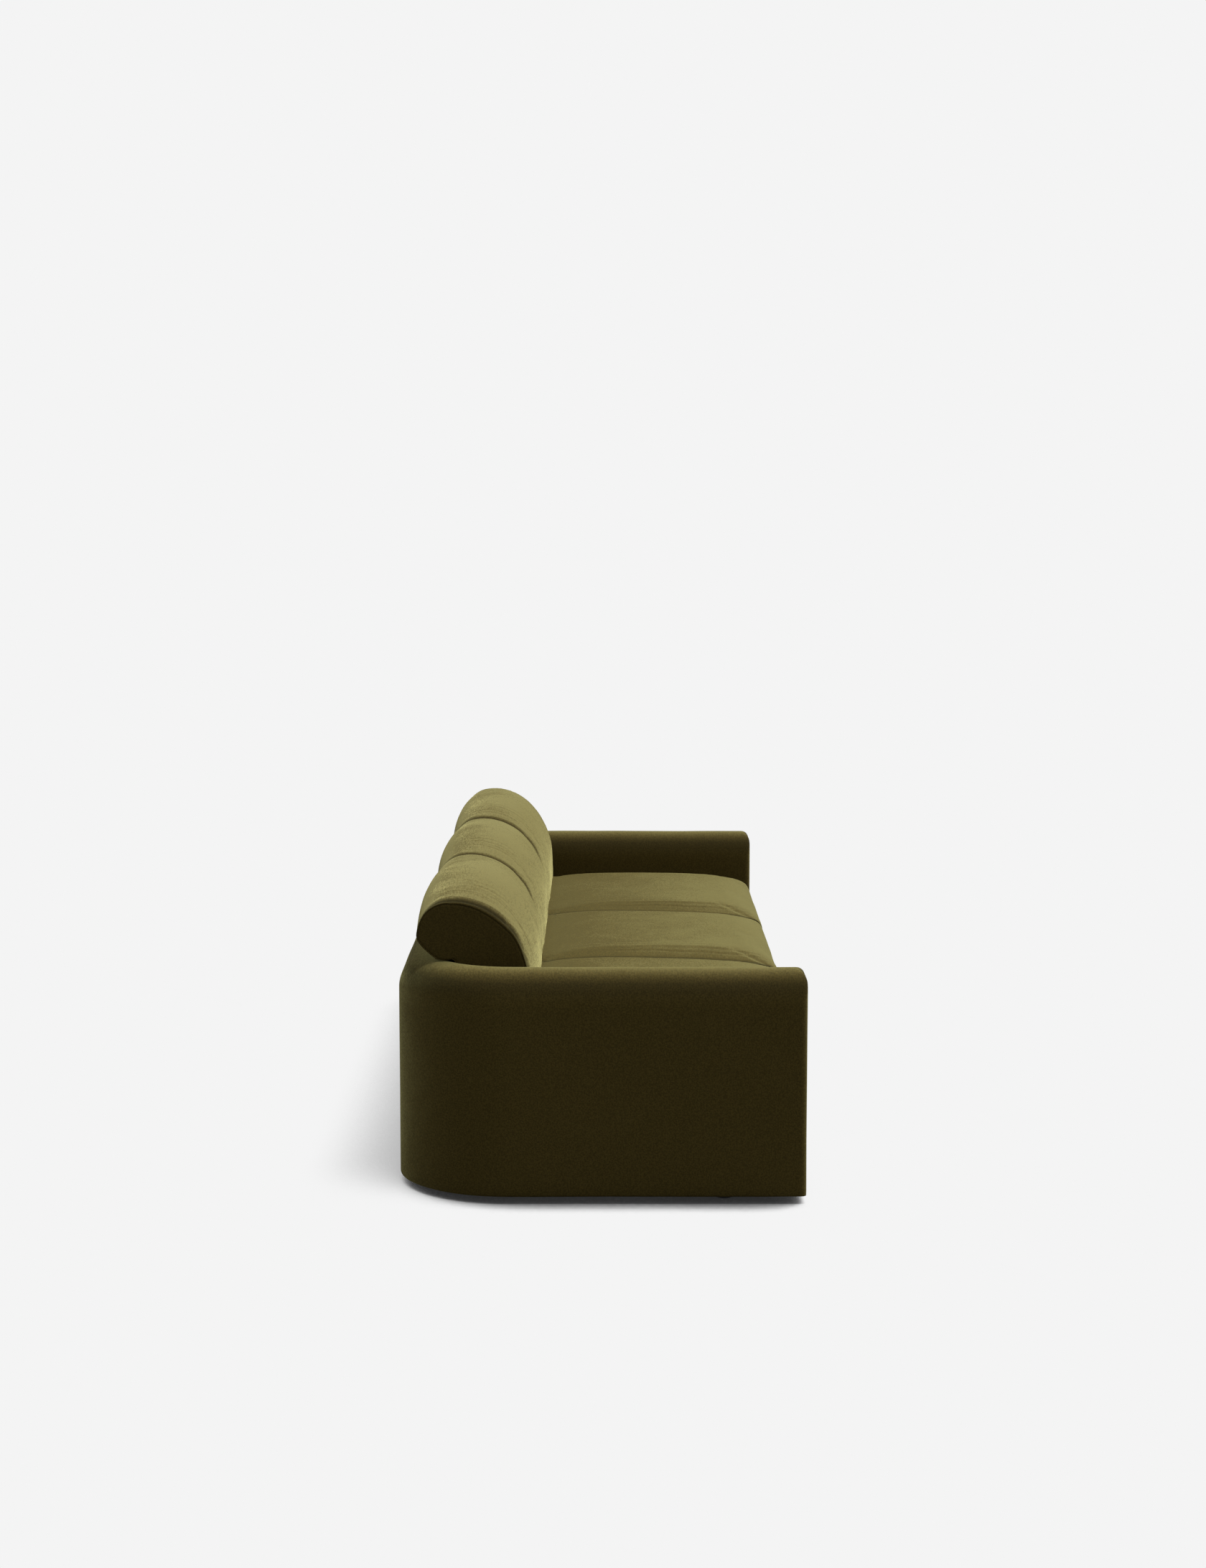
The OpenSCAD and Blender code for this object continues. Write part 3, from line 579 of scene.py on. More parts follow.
def ring_curve(points, count):
    """A closed smooth curve along points, cut into equal steps. Any values past Y and Z go along with it."""
    pts = np.array(points, float)
    n = len(pts)
    dense = []
    for i in range(n):
        p0, p1, p2, p3 = pts[i - 1], pts[i], pts[(i + 1) % n], pts[(i + 2) % n]
        t1 = np.linalg.norm(p1 - p0) ** 0.5
        t2 = t1 + np.linalg.norm(p2 - p1) ** 0.5
        t3 = t2 + np.linalg.norm(p3 - p2) ** 0.5
        for t in np.linspace(t1, t2, 16, endpoint=False):
            a1 = (t1 - t) / t1 * p0 + t / t1 * p1
            a2 = (t2 - t) / (t2 - t1) * p1 + (t - t1) / (t2 - t1) * p2
            a3 = (t3 - t) / (t3 - t2) * p2 + (t - t2) / (t3 - t2) * p3
            b1 = (t2 - t) / t2 * a1 + t / t2 * a2
            b2 = (t3 - t) / (t3 - t1) * a2 + (t - t1) / (t3 - t1) * a3
            dense.append((t2 - t) / (t2 - t1) * b1 + (t - t1) / (t2 - t1) * b2)
    dense = np.array(dense + dense[:1])
    run = np.concatenate([[0], np.cumsum(np.linalg.norm(np.diff(dense, axis=0), axis=1))])
    at = np.linspace(0, run[-1], count, endpoint=False)
    curve = np.stack([np.interp(at, run, dense[:, k]) for k in range(dense.shape[1])], axis=1)
    # Above the resting height it turns smoother, and each pass inwards has one outwards that keeps its size
    high = ramp(curve[:, 1], REST_Z, REST_Z + 0.03)[:, None]
    for share in (0.5, -0.52) * 8:
        curve += high * share * ((np.roll(curve, 1, 0) + np.roll(curve, -1, 0)) / 2 - curve)
    return curve


def fullness(distance, roll, slow):
    """How full a cushion is at a distance from its end, from 0 at the seam to 1."""
    way = clip01(2 * distance / CUSHION_W)
    edge = math.sqrt(1 - (1 - clip01(distance / roll)) ** 2)
    return edge * (1 - slow) + math.sin(math.pi / 2 * way) * slow


def end_distances(roll, cell):
    """Distances of the rings from a cushion's end, close together at the seam."""
    count = max(6, round(roll * 1.4 / cell))
    rolled = [roll * (1 - math.cos(math.pi / 2 * i / count)) for i in range(count + 1)]
    flat = max(1, round((CUSHION_W / 2 - roll) / cell))
    return rolled + [roll + (CUSHION_W / 2 - roll) * i / flat for i in range(1, flat + 1)]


def seat_outline():
    """The seat's ring at its crown in Y and Z, with how far back and how far up each point is."""
    front, rear = SEAT_LOW.y, SEAT_HIGH.y
    run = BOLSTER_LOW.y - front
    rise = REST_Z - SEAT_LOW.z
    crown = SEAT_HIGH.z - REST_Z
    points = [(front + a * run, SEAT_LOW.z + b * rise) for a, b in SEAT_FRONT]
    points += [(front + a * run, REST_Z + b * crown) for a, b in SEAT_TOP]
    points += [(BOLSTER_LOW.y + a * (rear - BOLSTER_LOW.y), SEAT_LOW.z + b * rise) for a, b in SEAT_REAR]
    points += [(front + a * (rear - front), SEAT_LOW.z) for a in (0.9, 0.75, 0.5, 0.25, 0.1)]
    return points


def seat_ring(ring, full):
    """The seat's ring drawn in as far as it isn't full."""
    back = np.clip((ring[:, 0] - SEAT_LOW.y) / (SEAT_HIGH.y - SEAT_LOW.y), 0, 1)
    up = np.clip((ring[:, 1] - SEAT_LOW.z) / (SEAT_HIGH.z - SEAT_LOW.z), 0, 1)
    y = ring[:, 0] + (1 - full) * sizes().seat_draw_front * (1 - back) ** 6 * np.sin(math.pi * up)
    z = ring[:, 1] - (1 - full) * sizes().seat_draw_top * up ** 3 * np.sqrt(1 - back)
    return np.stack([y, z], axis=1)


def bolster_outline():
    """The bolster's ring at its crown: Y, Z and the share of the draw that each point takes."""
    front, rear = BOLSTER_LOW.y, BOLSTER_HIGH.y
    deep, top = rear - front, BOLSTER_HIGH.z
    points = [(front + a * deep, REST_Z + b * (top - REST_Z), c) for a, b, c in BOLSTER_FRONT]
    points += [(front + a * deep, NOTCH_Z + b * (top - NOTCH_Z), c) for a, b, c in BOLSTER_REAR]
    corner = SEAT_HIGH.y
    points += [(corner + 0.038, NOTCH_Z, 0.14), (corner + 0.012, NOTCH_Z, 0.02), (corner, NOTCH_Z - 0.012, 0)]
    points += [(corner, NOTCH_Z + a * (REST_Z - NOTCH_Z), 0) for a in (0.33, 0.66, 0.93)]
    points += [(front + a * (corner - front), REST_Z, 0) for a in (0.93, 0.66, 0.33, 0.12)]
    return points


def bolster_pole():
    """The point in Y and Z that the bolster's ends draw in towards."""
    draw = sizes().bolster_draw
    return np.array([(BOLSTER_LOW.y + BOLSTER_HIGH.y) / 2 - draw / 3, NOTCH_Z + draw])


def bolster_ring(ring, full):
    """The bolster's ring drawn in towards its pole as far as it isn't full."""
    away = bolster_pole() - ring[:, :2]
    length = np.linalg.norm(away, axis=1)
    pull = (1 - full) * sizes().bolster_draw * ring[:, 2] / length
    return ring[:, :2] + away * pull[:, None]


def cushion_loops(ring, ring_at, roll, slow):
    """The cushion's rings from one end to the other, as an array of rings, points and axes."""
    xs = [d - CUSHION_W / 2 for d in end_distances(roll, sizes().cell)]
    xs += [-x for x in reversed(xs[:-1])]
    loops = []
    for x in xs:
        loop = ring_at(ring, fullness(CUSHION_W / 2 - abs(x), roll, slow))
        loops.append(np.column_stack([np.full(len(loop), x), loop]))
    return np.array(loops)


def skin(name, loops, poles, slot, rings=7, groove=0.0):
    """A closed form through loops, each end closed by flat rings about its pole.
    The groove sinks a ring near the edge, where the end panel's seam is."""
    ends = []
    for loop, pole, inward in ((loops[0], poles[0], loops[1]), (loops[-1], poles[1], loops[-2])):
        way = (inward - loop).mean(axis=0)
        way = way / np.linalg.norm(way)
        reach = np.linalg.norm(loop - pole, axis=1)[:, None]
        caps = [
            pole + (loop - pole) * (1 - inset / reach) + way * sunk
            for inset, sunk in ((SEAM_IN, groove), (PANEL_IN, 0.0))
        ]
        for i in range(rings):
            share = (1 - (i + 1) / (rings + 1)) * PANEL_SHARE
            caps.append(pole + (loop - pole) * share)
        ends.append(caps)
    rows = np.array(ends[0][::-1] + list(loops) + ends[1])
    return make_piece(name, *closed_rows(rows, poles), slot)


def closed_rows(rows, poles):
    """Points and faces of a closed form through rows of points, with a fan at each end."""
    m, n = rows.shape[:2]
    points = np.vstack([rows.reshape(-1, 3), poles])
    a = np.arange(m * n).reshape(m, n)
    b = np.roll(a, -1, axis=1)
    quads = np.stack([a[:-1], b[:-1], b[1:], a[1:]], axis=-1).reshape(-1, 4)
    corners = points[quads]
    away = np.cross(corners[:, 1] - corners[:, 0], corners[:, 3] - corners[:, 0])
    outward = np.einsum("ij,ij->", away, corners[:, 0] - points.mean(axis=0)) > 0
    faces = [tuple(q) for q in quads.tolist()]
    faces += [(m * n, k, j) for j, k in zip(a[0].tolist(), b[0].tolist())]
    faces += [(m * n + 1, j, k) for j, k in zip(a[-1].tolist(), b[-1].tolist())]
    return points, faces if outward else [face[::-1] for face in faces]


def arc_points(x, y, radius, degrees):
    """Points round a centre, at angles in degrees."""
    turns = [math.radians(a) for a in degrees]
    return [(x + radius * math.cos(turn), y + radius * math.sin(turn)) for turn in turns]


def slab(name, low, high, corner, slot, cell=0.016):
    """A block along X with rounded edges and a fine enough mesh for its faces to be uneven."""
    outline = []
    for y, z, start in (
        (high.y - corner, high.z - corner, 0), (low.y + corner, high.z - corner, 90),
        (low.y + corner, low.z + corner, 180), (high.y - corner, low.z + corner, 270),
    ):
        arc = arc_points(y, z, corner, range(start, start + 91, 15))
        outline += between(outline[-1], arc[0], cell) + arc if outline else arc
    outline += between(outline[-1], outline[0], cell)
    outline = np.array(outline)
    middle = np.array([(low.y + high.y) / 2, (low.z + high.z) / 2])
    half = np.array([(high.y - low.y) / 2, (high.z - low.z) / 2])
    ends = [corner * (1 - math.cos(math.pi / 2 * i / 5)) for i in range(6)]
    steps = round((high.x - low.x - 2 * corner) / cell)
    xs = [low.x + d for d in ends]
    xs += [low.x + corner + (high.x - low.x - 2 * corner) * i / steps for i in range(1, steps)]
    xs += [high.x - d for d in reversed(ends)]
    loops = []
    for x in xs:
        edge = clip01(min(x - low.x, high.x - x) / corner)
        drawn = corner * (1 - math.sqrt(1 - (1 - edge) ** 2))
        loop = middle + (outline - middle) * (1 - drawn / half)
        loops.append(np.column_stack([np.full(len(loop), x), loop]))
    poles = [np.array([x, *middle]) for x in (low.x, high.x)]
    return skin(name, np.array(loops), poles, slot, rings=2)


def between(start, end, cell):
    """Points between two points, without them."""
    count = int(math.dist(start, end) / cell)
    return [tuple(a + (b - a) * i / (count + 1) for a, b in zip(start, end)) for i in range(1, count + 1)]


def channel(name, sections, slot):
    """A form through sections that are each a closed U: as many points on the outside as on the inside."""
    rows = np.array(sections)
    m, n = rows.shape[:2]
    points = rows.reshape(-1, 3)
    a = np.arange(m * n).reshape(m, n)
    b = np.roll(a, -1, axis=1)
    faces = np.stack([a[:-1], b[:-1], b[1:], a[1:]], axis=-1).reshape(-1, 4).tolist()
    outer, inner = a[:, :n // 2], a[:, n // 2:][:, ::-1]
    for row, way in ((0, 1), (-1, -1)):
        for i in range(n // 2 - 1):
            faces.append((outer[row, i], inner[row, i], inner[row, i + 1], outer[row, i + 1])[::way])
    corners = points[np.array(faces)]
    away = np.cross(corners[:, 1] - corners[:, 0], corners[:, 3] - corners[:, 0])
    volume = np.einsum("ij,ij->", away, corners[:, 0] - points.mean(axis=0))
    faces = [tuple(face) if volume > 0 else tuple(face)[::-1] for face in faces]
    return make_piece(name, points, faces, slot)


def even_path(points, count):
    """A path through points, cut into even steps."""
    points = np.array(points)
    run = np.concatenate([[0], np.cumsum(np.linalg.norm(np.diff(points, axis=0), axis=1))])
    at = np.linspace(0, run[-1], count)
    return np.stack([np.interp(at, run, points[:, k]) for k in (0, 1)], axis=1)


def flat_sheet(name, low, high, height_at, thick, slot, holes=(), cell=0.014):
    """A thin sheet over a rectangle in X and Y, with round holes. height_at gives its lower side."""
    across, along = round((high.x - low.x) / cell), round((high.y - low.y) / cell)
    xs, ys = np.linspace(low.x, high.x, across + 1), np.linspace(low.y, high.y, along + 1)
    flat = [Vector((x, y)) for x in xs for y in ys]
    flat = [p for p in flat if all((p - Vector(place)).length > r + 0.3 * cell for *place, r in holes)]
    edges = []
    turns = np.linspace(0, math.tau, 32, endpoint=False)
    for x, y, r in holes:
        start = len(flat)
        flat += [Vector((x + r * math.cos(a), y + r * math.sin(a))) for a in turns]
        edges += [(start + i, start + (i + 1) % len(turns)) for i in range(len(turns))]
    points, _, faces, *_ = delaunay_2d_cdt(flat, edges, [], 0, 1e-6)
    points = np.array([tuple(p) for p in points])
    inside = points[np.array(faces)].mean(axis=1)
    kept = np.ones(len(faces), bool)
    for x, y, r in holes:
        kept &= np.hypot(inside[:, 0] - x, inside[:, 1] - y) > r * 0.99
    faces = [tuple(face) for face, keep in zip(faces, kept) if keep]
    count = len(points)
    lower = height_at(points)
    both = np.vstack([np.column_stack([points, lower]), np.column_stack([points, lower + thick])])
    sides = {(face[i - 1], face[i]) for face in faces for i in range(3)}
    rim = [(a, b) for a, b in sides if (b, a) not in sides]
    walls = [(b, a, count + a, count + b) for a, b in sorted(rim)]
    made = [tuple(reversed(face)) for face in faces] + [tuple(count + v for v in face) for face in faces]
    return make_piece(name, both, made + [wall[::-1] for wall in walls], slot)


def refine(piece, n):
    """Twice as many rows, and points on each, with the new ones on smooth curves between the old."""
    points = read_points(piece)
    rows = points[:-2].reshape(-1, n, 3)
    added = (9 * (rows + np.roll(rows, -1, 1)) - np.roll(rows, 1, 1) - np.roll(rows, -2, 1)) / 16
    wide = np.stack([rows, added], axis=2).reshape(len(rows), 2 * n, 3)
    before = np.concatenate([wide[:1], wide[:-2]])
    after = np.concatenate([wide[2:], wide[-1:]])
    middle = (9 * (wide[:-1] + wide[1:]) - before - after) / 16
    tall = np.empty((2 * len(wide) - 1, 2 * n, 3))
    tall[0::2], tall[1::2] = wide, middle
    old = piece.data
    piece.data = make_mesh(piece.name, *closed_rows(tall, points[-2:]))
    piece.data.materials.append(old.materials[0])
    bpy.data.meshes.remove(old)


def inflate(piece, held):
    """Cloth under pressure, with the held points pinned, and no point moved further than the swell."""
    size = sizes()
    scene = bpy.context.scene
    before = read_points(piece)
    group = piece.vertex_groups.new(name="held")
    for i in np.nonzero(held)[0]:
        group.add([int(i)], 1.0, "REPLACE")
    cloth = piece.modifiers.new("cloth", "CLOTH")
    cloth.settings.quality = 5
    cloth.settings.mass = 0.4
    cloth.settings.vertex_group_mass = "held"
    cloth.settings.use_pressure = True
    cloth.settings.uniform_pressure_force = 4.0
    cloth.settings.tension_stiffness = 12.0
    cloth.settings.compression_stiffness = 12.0
    cloth.settings.shear_stiffness = 6.0
    cloth.settings.bending_stiffness = 0.6
    cloth.settings.effector_weights.gravity = 0.0
    cloth.point_cache.frame_start = 1
    cloth.point_cache.frame_end = size.frames
    for step in range(1, size.frames + 1):
        scene.frame_set(step)
    solved = piece.evaluated_get(bpy.context.evaluated_depsgraph_get()).to_mesh()
    flat = np.zeros(before.size)
    solved.vertices.foreach_get("co", flat)
    piece.evaluated_get(bpy.context.evaluated_depsgraph_get()).to_mesh_clear()
    piece.modifiers.clear()
    piece.vertex_groups.clear()
    scene.frame_set(1)
    moved = flat.reshape(-1, 3) - before
    length = np.linalg.norm(moved, axis=1)
    share = np.minimum(1, size.swell / np.maximum(length, 1e-9))
    write_points(piece, before + moved * share[:, None])


def stuff(piece, held, n):
    """Draws the free points in by half the swell, lets the stuffing push them out, and refines the mesh."""
    points = read_points(piece)
    inner = points - read_normals(piece) * (sizes().swell * 0.5)
    points[~held] = inner[~held]
    write_points(piece, points)
    inflate(piece, held)
    refine(piece, n)


def set_at(piece, side):
    """Moves a cushion from the middle place to its own."""
    points = read_points(piece)
    points[:, 0] += SEAT_X[side] * SEAT_PITCH
    write_points(piece, points)


def pulls(along, height, lines, seed):
    """Fine pulls in the fabric. Each line has a place, a width, a depth, and where it starts and stops."""
    depth = np.zeros(len(along))
    for i, (place, width, strength, start, stop) in enumerate(lines):
        wander = 0.004 * np.sin(height * 13 + seed + i) + 0.002 * np.sin(height * 41 + 2 * seed + i)
        near = (along - place - wander) / width
        soft = 0.2 * (stop - start)
        fade = ramp(height, start, start + soft) * ramp(-height, -stop, soft - stop)
        depth -= strength * np.exp(-near * near) * fade
        depth += 0.5 * strength * np.exp(-(near - 2.2) ** 2) * fade
    return depth


class SOFA_OT_stage(bpy.types.Operator):
    """Make the floor, the pale backdrop, the lamps and the camera"""

    bl_idname = "sofa.stage"
    bl_label = "Stage"

    def execute(self, context):
        scene = context.scene
        scene.view_settings.view_transform = "Standard"
        self.floor()
        self.sky(scene)
        self.lamps(scene)
        self.camera(scene)
        return {"FINISHED"}

    def floor(self):
        reach = 60.0
        mesh = bpy.data.meshes.new("floor")
        corners = [(-reach, -reach, 0), (reach, -reach, 0), (reach, reach, 0), (-reach, reach, 0)]
        mesh.from_pydata(corners, [], [(0, 1, 2, 3)])
        floor = bpy.data.objects.new("floor", mesh)
        bpy.context.scene.collection.objects.link(floor)
        m = new_material("floor_paint")
        bright = colours().backdrop
        shades = []
        for distance, way, stops in (NEAR_SHADOW, REAR_SHADOW):
            looking = m.node("ShaderNodeCombineXYZ", {}, dict(enumerate(way)))
            openness = m.node(
                "ShaderNodeAmbientOcclusion", {"samples": 12}, {"Distance": distance, "Normal": looking}, 1)
            shades.append(m.steps(openness, *stops))
        lit = m.blend(shades[0] * shades[1], (0.0, 0.0, 0.0), (bright, bright, bright))
        direct = m.node("ShaderNodeEmission", {}, {"Color": lit, "Strength": 1.0})
        unlit = m.blend(shades[0], (0.0, 0.0, 0.0), (0.14, 0.14, 0.135))
        dim = m.node("ShaderNodeBsdfDiffuse", {}, {"Color": unlit})
        shown = m.in_view()
        shade = m.node("ShaderNodeMixShader", {}, {0: shown, 1: dim, 2: direct})
        m.node("ShaderNodeOutputMaterial", {}, {"Surface": shade})
        mesh.materials.append(m.owner)

    def sky(self, scene):
        world = bpy.data.worlds.new("studio")
        scene.world = world
        w = Shader(world)
        bright = colours().backdrop
        pale = w.node("ShaderNodeBackground", {}, {"Color": (bright, bright, bright), "Strength": 1.0})
        way = w.node("ShaderNodeTexCoord", output=0)
        up, back = (w.node("ShaderNodeSeparateXYZ", {}, {0: way}, output=axis) for axis in (2, 1))
        tone = w.blend(w.steps(up, (0.0, 0.0), (0.75, 1.0)), (0.13, 0.13, 0.13), (0.45, 0.45, 0.45))
        soft = w.node("ShaderNodeBackground", {}, {
            "Color": tone, "Strength": w.spread(back, (0.2, 1.0), (1.0, 2.6))})
        shown = w.in_view()
        shade = w.node("ShaderNodeMixShader", {}, {0: shown, 1: soft, 2: pale})
        w.node("ShaderNodeOutputWorld", {}, {"Surface": shade})

    def lamps(self, scene):
        key = bpy.data.lights.new("key", "SUN")
        key.energy = 5.2
        key.angle = math.radians(48)
        lamp = bpy.data.objects.new("key", key)
        towards = Vector((0.1, -0.48, 0.87))
        lamp.rotation_mode = "QUATERNION"
        lamp.rotation_quaternion = towards.to_track_quat("Z", "Y")
        scene.collection.objects.link(lamp)

    def camera(self, scene):
        # A photograph of 1680 by 2184 pixels, whose focal length in pixels was fitted to the outline
        focal_px, long_side_px = 3894.8, 2184.0
        data = bpy.data.cameras.new("camera")
        data.sensor_width = 36.0
        data.lens = focal_px * data.sensor_width / long_side_px
        data.clip_end = 200.0
        camera = bpy.data.objects.new("camera", data)
        camera.location = (-7.7413, -0.0075, 1.6663)
        camera.rotation_euler = (math.radians(90 - 6.106), 0.0, math.radians(-90))
        scene.collection.objects.link(camera)
        scene.camera = camera


class SOFA_OT_seats(bpy.types.Operator):
    """Make the three loose seat cushions"""

    bl_idname = "sofa.seats"
    bl_label = "Seat cushions"

    def execute(self, context):
        outline = seat_outline()
        around = 2 * (SEAT_HIGH.y - SEAT_LOW.y + SEAT_HIGH.z - SEAT_LOW.z)
        ring = ring_curve(outline, round(around / sizes().cell))
        loops = cushion_loops(ring, seat_ring, sizes().seat_roll, sizes().seat_slow)
        middle = ((SEAT_LOW.y + SEAT_HIGH.y) / 2, (SEAT_LOW.z + REST_Z) / 2)
        poles = [np.array([x, *middle]) for x in (-CUSHION_W / 2, CUSHION_W / 2)]
        for side in SIDES:
            self.cushion(side, loops, poles)
        return {"FINISHED"}

    def cushion(self, side, loops, poles):
        seat = skin(side + "_seat_cushion", loops, poles, "velvet_seat", groove=0.003)
        start = read_points(seat)
        ends = np.abs(start[:, 0]) > CUSHION_W / 2 - 0.002
        under = start[:, 2] < SEAT_LOW.z + 0.02
        below_bolster = (start[:, 1] > BOLSTER_LOW.y + 0.02) & (start[:, 2] > REST_Z - 0.03)
        held = ends | under | below_bolster | (start[:, 1] > SEAT_HIGH.y - 0.01)
        stuff(seat, held, loops.shape[1])
        seed = 3 + SEAT_X[side]

        def depth(p):
            edge = CUSHION_W / 2 - np.abs(p[:, 0])
            back = p[:, 1] - SEAT_LOW.y
            calm = ramp(p[:, 2], SEAT_LOW.z + 0.03, SEAT_LOW.z + 0.08) * ramp(edge, 0.0, 0.05)
            clear = ramp(-p[:, 1], -BOLSTER_LOW.y - 0.01, 0.05 - BOLSTER_LOW.y)
            uneven = ripple(p, 9, seed) * 0.0016 + ripple(p, 30, seed + 9) * 0.0004
            front = [
                (0.055, 0.004, 0.0009, 0.0, 0.5), (0.085, 0.005, 0.0007, 0.02, 0.42),
                (0.12, 0.006, 0.0006, 0.1, 0.6),
            ]
            return calm * clear * (uneven + pulls(edge, back, front, seed))

        push_out(seat, depth)
        set_at(seat, side)
        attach(seat, side + "_seat")
        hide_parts(side + "_seat_cover")


class SOFA_OT_bolsters(bpy.types.Operator):
    """Make the three loose back bolsters"""

    bl_idname = "sofa.bolsters"
    bl_label = "Back bolsters"

    def execute(self, context):
        ring = ring_curve(bolster_outline(), round(1.15 / sizes().cell))
        loops = cushion_loops(ring, bolster_ring, sizes().bolster_roll, sizes().bolster_slow)
        poles = [np.array([x, *bolster_pole()]) for x in (-CUSHION_W / 2, CUSHION_W / 2)]
        for side in SIDES:
            self.cushion(side, loops, poles)
        return {"FINISHED"}

    def cushion(self, side, loops, poles):
        bolster = skin(side + "_bolster_cushion", loops, poles, "velvet_brushed", groove=0.0012)
        start = read_points(bolster)
        ends = np.abs(start[:, 0]) > CUSHION_W / 2 - 0.002
        under = start[:, 2] < REST_Z + 0.012
        against = (start[:, 1] > SEAT_HIGH.y - 0.012) & (start[:, 2] < NOTCH_Z + 0.004)
        held = ends | under | against
        stuff(bolster, held, loops.shape[1])
        seed = 13 + SEAT_X[side]
        pole = bolster_pole()

        def depth(p):
            edge = CUSHION_W / 2 - np.abs(p[:, 0])
            calm = ramp(p[:, 2], REST_Z + 0.02, REST_Z + 0.07) * ramp(edge, 0.0, 0.04)
            rear = p[:, 1] > SEAT_HIGH.y - 0.02
            resting = np.where(rear, ramp(p[:, 2], NOTCH_Z + 0.004, NOTCH_Z + 0.034), 1.0)
            turn = np.arctan2(p[:, 2] - pole[1], pole[0] - p[:, 1])
            lines = [
                (0.105, 0.004, 0.0011, -0.4, 2.4), (0.125, 0.004, 0.0008, 0.3, 2.0),
                (0.15, 0.005, 0.0009, 0.7, 2.2), (0.185, 0.005, 0.0006, 0.9, 2.3),
            ]
            uneven = ripple(p, 10, seed) * 0.0014 + ripple(p, 34, seed + 9) * 0.0003
            return calm * resting * (uneven + pulls(edge, turn, lines, seed))

        push_out(bolster, depth)
        set_at(bolster, side)
        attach(bolster, side + "_bolster")
        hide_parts(side + "_bolster_cover")


class SOFA_OT_walls(bpy.types.Operator):
    """Make the velvet covers of the arms, the rear corners and the back walls"""

    bl_idname = "sofa.walls"
    bl_label = "Arms and back walls"

    def execute(self, context):
        size = sizes()
        radius = size.corner_radius
        self.centre = Vector((WALL_HIGH.x - radius, WALL_HIGH.y - radius))
        self.inner = radius - WALL_THICK
        front = self.arm_stations()
        corner = self.corner_stations()
        straight = self.straight_stations(self.centre.x - 0.02, WALL_LOW.x)
        loops = front + corner + straight
        for side, mirror in (("right", 1), ("left", -1)):
            placed = [loop * np.array([mirror, 1, 1]) for loop in loops]
            self.wall(side, placed, self.middle_of(placed))
        far = MIDDLE_HIGH.x - 0.03
        low_end = self.straight_stations(-far, MIDDLE_LOW.x)[::-1]
        xs = np.arange(-far + WALL_STEP, far - 0.01, WALL_STEP)
        loops = low_end + [self.straight(x, self.outline()) for x in xs]
        loops += self.straight_stations(far, MIDDLE_HIGH.x)
        self.wall("middle", loops, self.middle_of(loops))
        return {"FINISHED"}

    def middle_of(self, loops):
        """A point in each end's plane that every edge of it can be seen from"""
        poles = []
        for loop in (loops[0], loops[-1]):
            low, high = loop.min(axis=0), loop.max(axis=0)
            poles.append((low + high) / 2)
        return poles

    def outline(self, inset=0.0, top=1.0, turn=0.0):
        """The wall's section: distance from the corner's centre, and height, all round from below.
        The inset narrows it and the top cuts it off, for the rounded ends. Round the corner, the inner
        face is that of the seat's square space."""
        foot, hem = WALL_LOW.z - BELOW, sizes().hem_radius
        outer_r, inner_r = sizes().corner_radius, self.inner
        middle = (outer_r + inner_r) / 2
        widest = outer_r - inset
        narrowest = (inner_r + inset) / max(math.cos(turn), math.sin(turn))
        round_r = BULL_R - 0.3 * inset
        over = [(widest, BULL_Z)]
        for a in range(3, 180, 3):
            r = middle + round_r * math.cos(math.radians(a))
            if r > narrowest + 0.0005:
                over.append((min(r, widest), min(BULL_Z + round_r * math.sin(math.radians(a)), top)))
        at_inner = BULL_Z + math.sqrt(max(0, round_r ** 2 - (narrowest - middle) ** 2))
        over.append((narrowest, min(at_inner, top)))
        hems = [
            arc_points(x, foot + hem, hem, turns)
            for x, turns in ((widest - hem, range(-90, 1, 10)), (narrowest + hem, range(180, 271, 10)))
        ]
        parts = (
            ([(middle, foot), hems[0][0]], 5), (hems[0], 7), ([hems[0][-1], over[0]], 26), (over, 46),
            ([over[-1], hems[1][0]], 26), (hems[1], 7), ([hems[1][-1], (middle, foot)], 5),
        )
        return np.vstack([even_path(path, count)[:-1] for path, count in parts])

    def straight(self, x, outline):
        """A section of a wall that runs along X."""
        return np.column_stack([np.full(len(outline), x), self.centre.y + outline[:, 0], outline[:, 1]])

    def rounded(self, radius, steps=5):
        """Distances from an end's face and how far the edge is drawn in there."""
        for i in range(steps + 1):
            turn = math.pi / 2 * i / steps
            yield radius * (1 - math.cos(turn)), radius * (1 - math.sin(turn))

    def straight_stations(self, start, end):
        """Sections from start to a rounded end, along X."""
        way = 1 if end > start else -1
        hem = sizes().hem_radius
        length = abs(end - start) - hem
        steps = max(1, round(length / WALL_STEP))
        made = [self.straight(start + way * length * i / steps, self.outline()) for i in range(steps)]
        for depth, inset in reversed(list(self.rounded(hem))):
            made.append(self.straight(end - way * depth, self.outline(inset, WALL_HIGH.z - inset)))
        return made

    def arm_stations(self):
        """Sections along the arm from its rounded front to the corner."""
        size = sizes()
        made = []
        front = WALL_LOW.y
        for depth, drop in self.rounded(size.nose_radius, 9):
            past = clip01(depth / size.edge_radius)
            inset = size.edge_radius * (1 - math.sqrt(1 - (1 - past) ** 2))
            made.append((front + depth, self.outline(inset, WALL_HIGH.z - drop)))
        start = front + size.nose_radius
        steps = round((self.centre.y - start) / WALL_STEP)
        for i in range(1, steps):
            made.append((start + (self.centre.y - start) * i / steps, self.outline()))
        return [
            np.column_stack([self.centre.x + outline[:, 0], np.full(len(outline), y), outline[:, 1]])
            for y, outline in made
        ]

